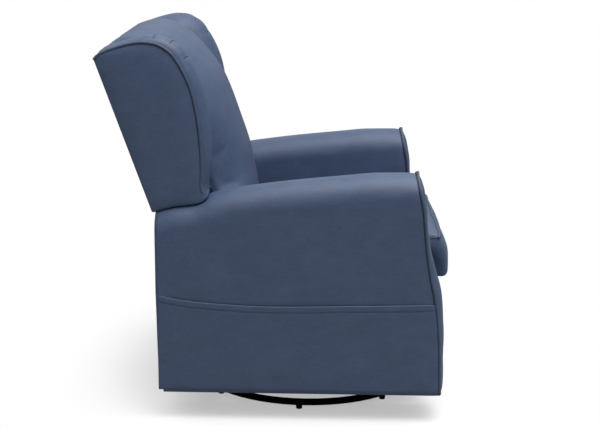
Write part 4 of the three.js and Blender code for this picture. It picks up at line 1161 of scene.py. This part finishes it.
def paper_floor():
    """Grey paper with the chair's shadows, which fades to the white round it."""
    mesh = bpy.data.meshes.new("floor")
    corners = [(-1, -1), (1, -1), (1, 1), (-1, 1)]
    mesh.from_pydata([(x * FLOOR_HALF, y * FLOOR_HALF, 0) for x, y in corners], [], [(0, 1, 2, 3)])
    paper = Finish("paper_floor", Roughness=0.9, Base_Color=(0.36, 0.36, 0.363, 1),
                   Specular_IOR_Level=0.1)

    def glow(strength):
        return paper.node("ShaderNodeEmission", {}, {"Color": (1, 1, 1, 1), "Strength": strength})

    def mixed(*inputs):
        return paper.node("ShaderNodeMixShader", {}, inputs)

    offset = paper.vector("SUBTRACT", paper.place(), (AXIS_X, 0, 0))
    far = paper.vector("LENGTH", paper.vector("MULTIPLY", offset, CHAIR_OVAL), output="Value")
    seen, through = paper.ray("Camera"), paper.ray("Transmission")
    lift = mixed(seen, glow(0.0), glow(0.44))
    lit = paper.node("ShaderNodeAddShader", {}, [Value(paper, paper.shader.outputs[0]), lift])
    beyond = paper.between(far, FADE_FROM, FADE_TO) * (seen + through)
    paper.give(paper.tree.nodes["Material Output"].inputs["Surface"],
               mixed(beyond, lit, glow(1.0)))
    mesh.materials.append(paper.material)
    shown("floor", mesh)


def studio_light():
    """A pale dome, brighter overhead, that the camera sees as white, and a soft lamp above."""
    world = bpy.data.worlds.new("studio")
    bpy.context.scene.world = world
    world.use_nodes = True
    sky = Nodes(world.node_tree)

    def towards(axis):
        """1 for a ray straight along an axis, down to 0 for one square to it or away from it."""
        way = sky.node("ShaderNodeSeparateXYZ", {}, [sky.place("Generated")], axis)
        return way.at_least(0.0)

    shine = towards("Y") * SHINE_BEHIND + SHINE_ROUND
    dome = (towards("Z") * DOME_OVERHEAD + DOME_ROUND) * (sky.ray("Glossy") * shine + 1.0)
    seen = sky.ray("Camera") + sky.ray("Transmission")
    background = sky.tree.nodes["Background"]
    sky.give(background.inputs["Strength"], (dome * (1 - seen)).at_least(seen))
    sky.give(background.inputs["Color"], (1, 1, 1, 1))
    light = bpy.data.lights.new("overhead", "AREA")
    light.shape, light.energy, (light.size, light.size_y) = "RECTANGLE", LAMP_POWER, LAMP_SIZE
    lamp = shown("overhead", light)
    lamp.location = LAMP_PLACE
    lamp.rotation_euler = (Vector(LAMP_AIM) - lamp.location).to_track_quat("-Z", "Y").to_euler()


def camera():
    ahead = Vector((-math.sin(YAW) * math.cos(PITCH), math.cos(YAW) * math.cos(PITCH),
                    -math.sin(PITCH)))
    right = Vector((math.cos(YAW), math.sin(YAW), 0))
    lens = bpy.data.cameras.new("camera")
    lens.lens, lens.sensor_width, lens.shift_x = 79.2, 36.0, 0.072
    lens.clip_start, lens.clip_end = 0.1, 100
    turned = Matrix((right, right.cross(ahead), -ahead)).transposed().to_4x4()
    turned.translation = Vector(EYE)
    eye = shown("camera", lens)
    eye.matrix_world = turned
    bpy.context.scene.camera = eye


paper_floor()
studio_light()
camera()
bpy.context.scene.view_settings.view_transform = "Standard"
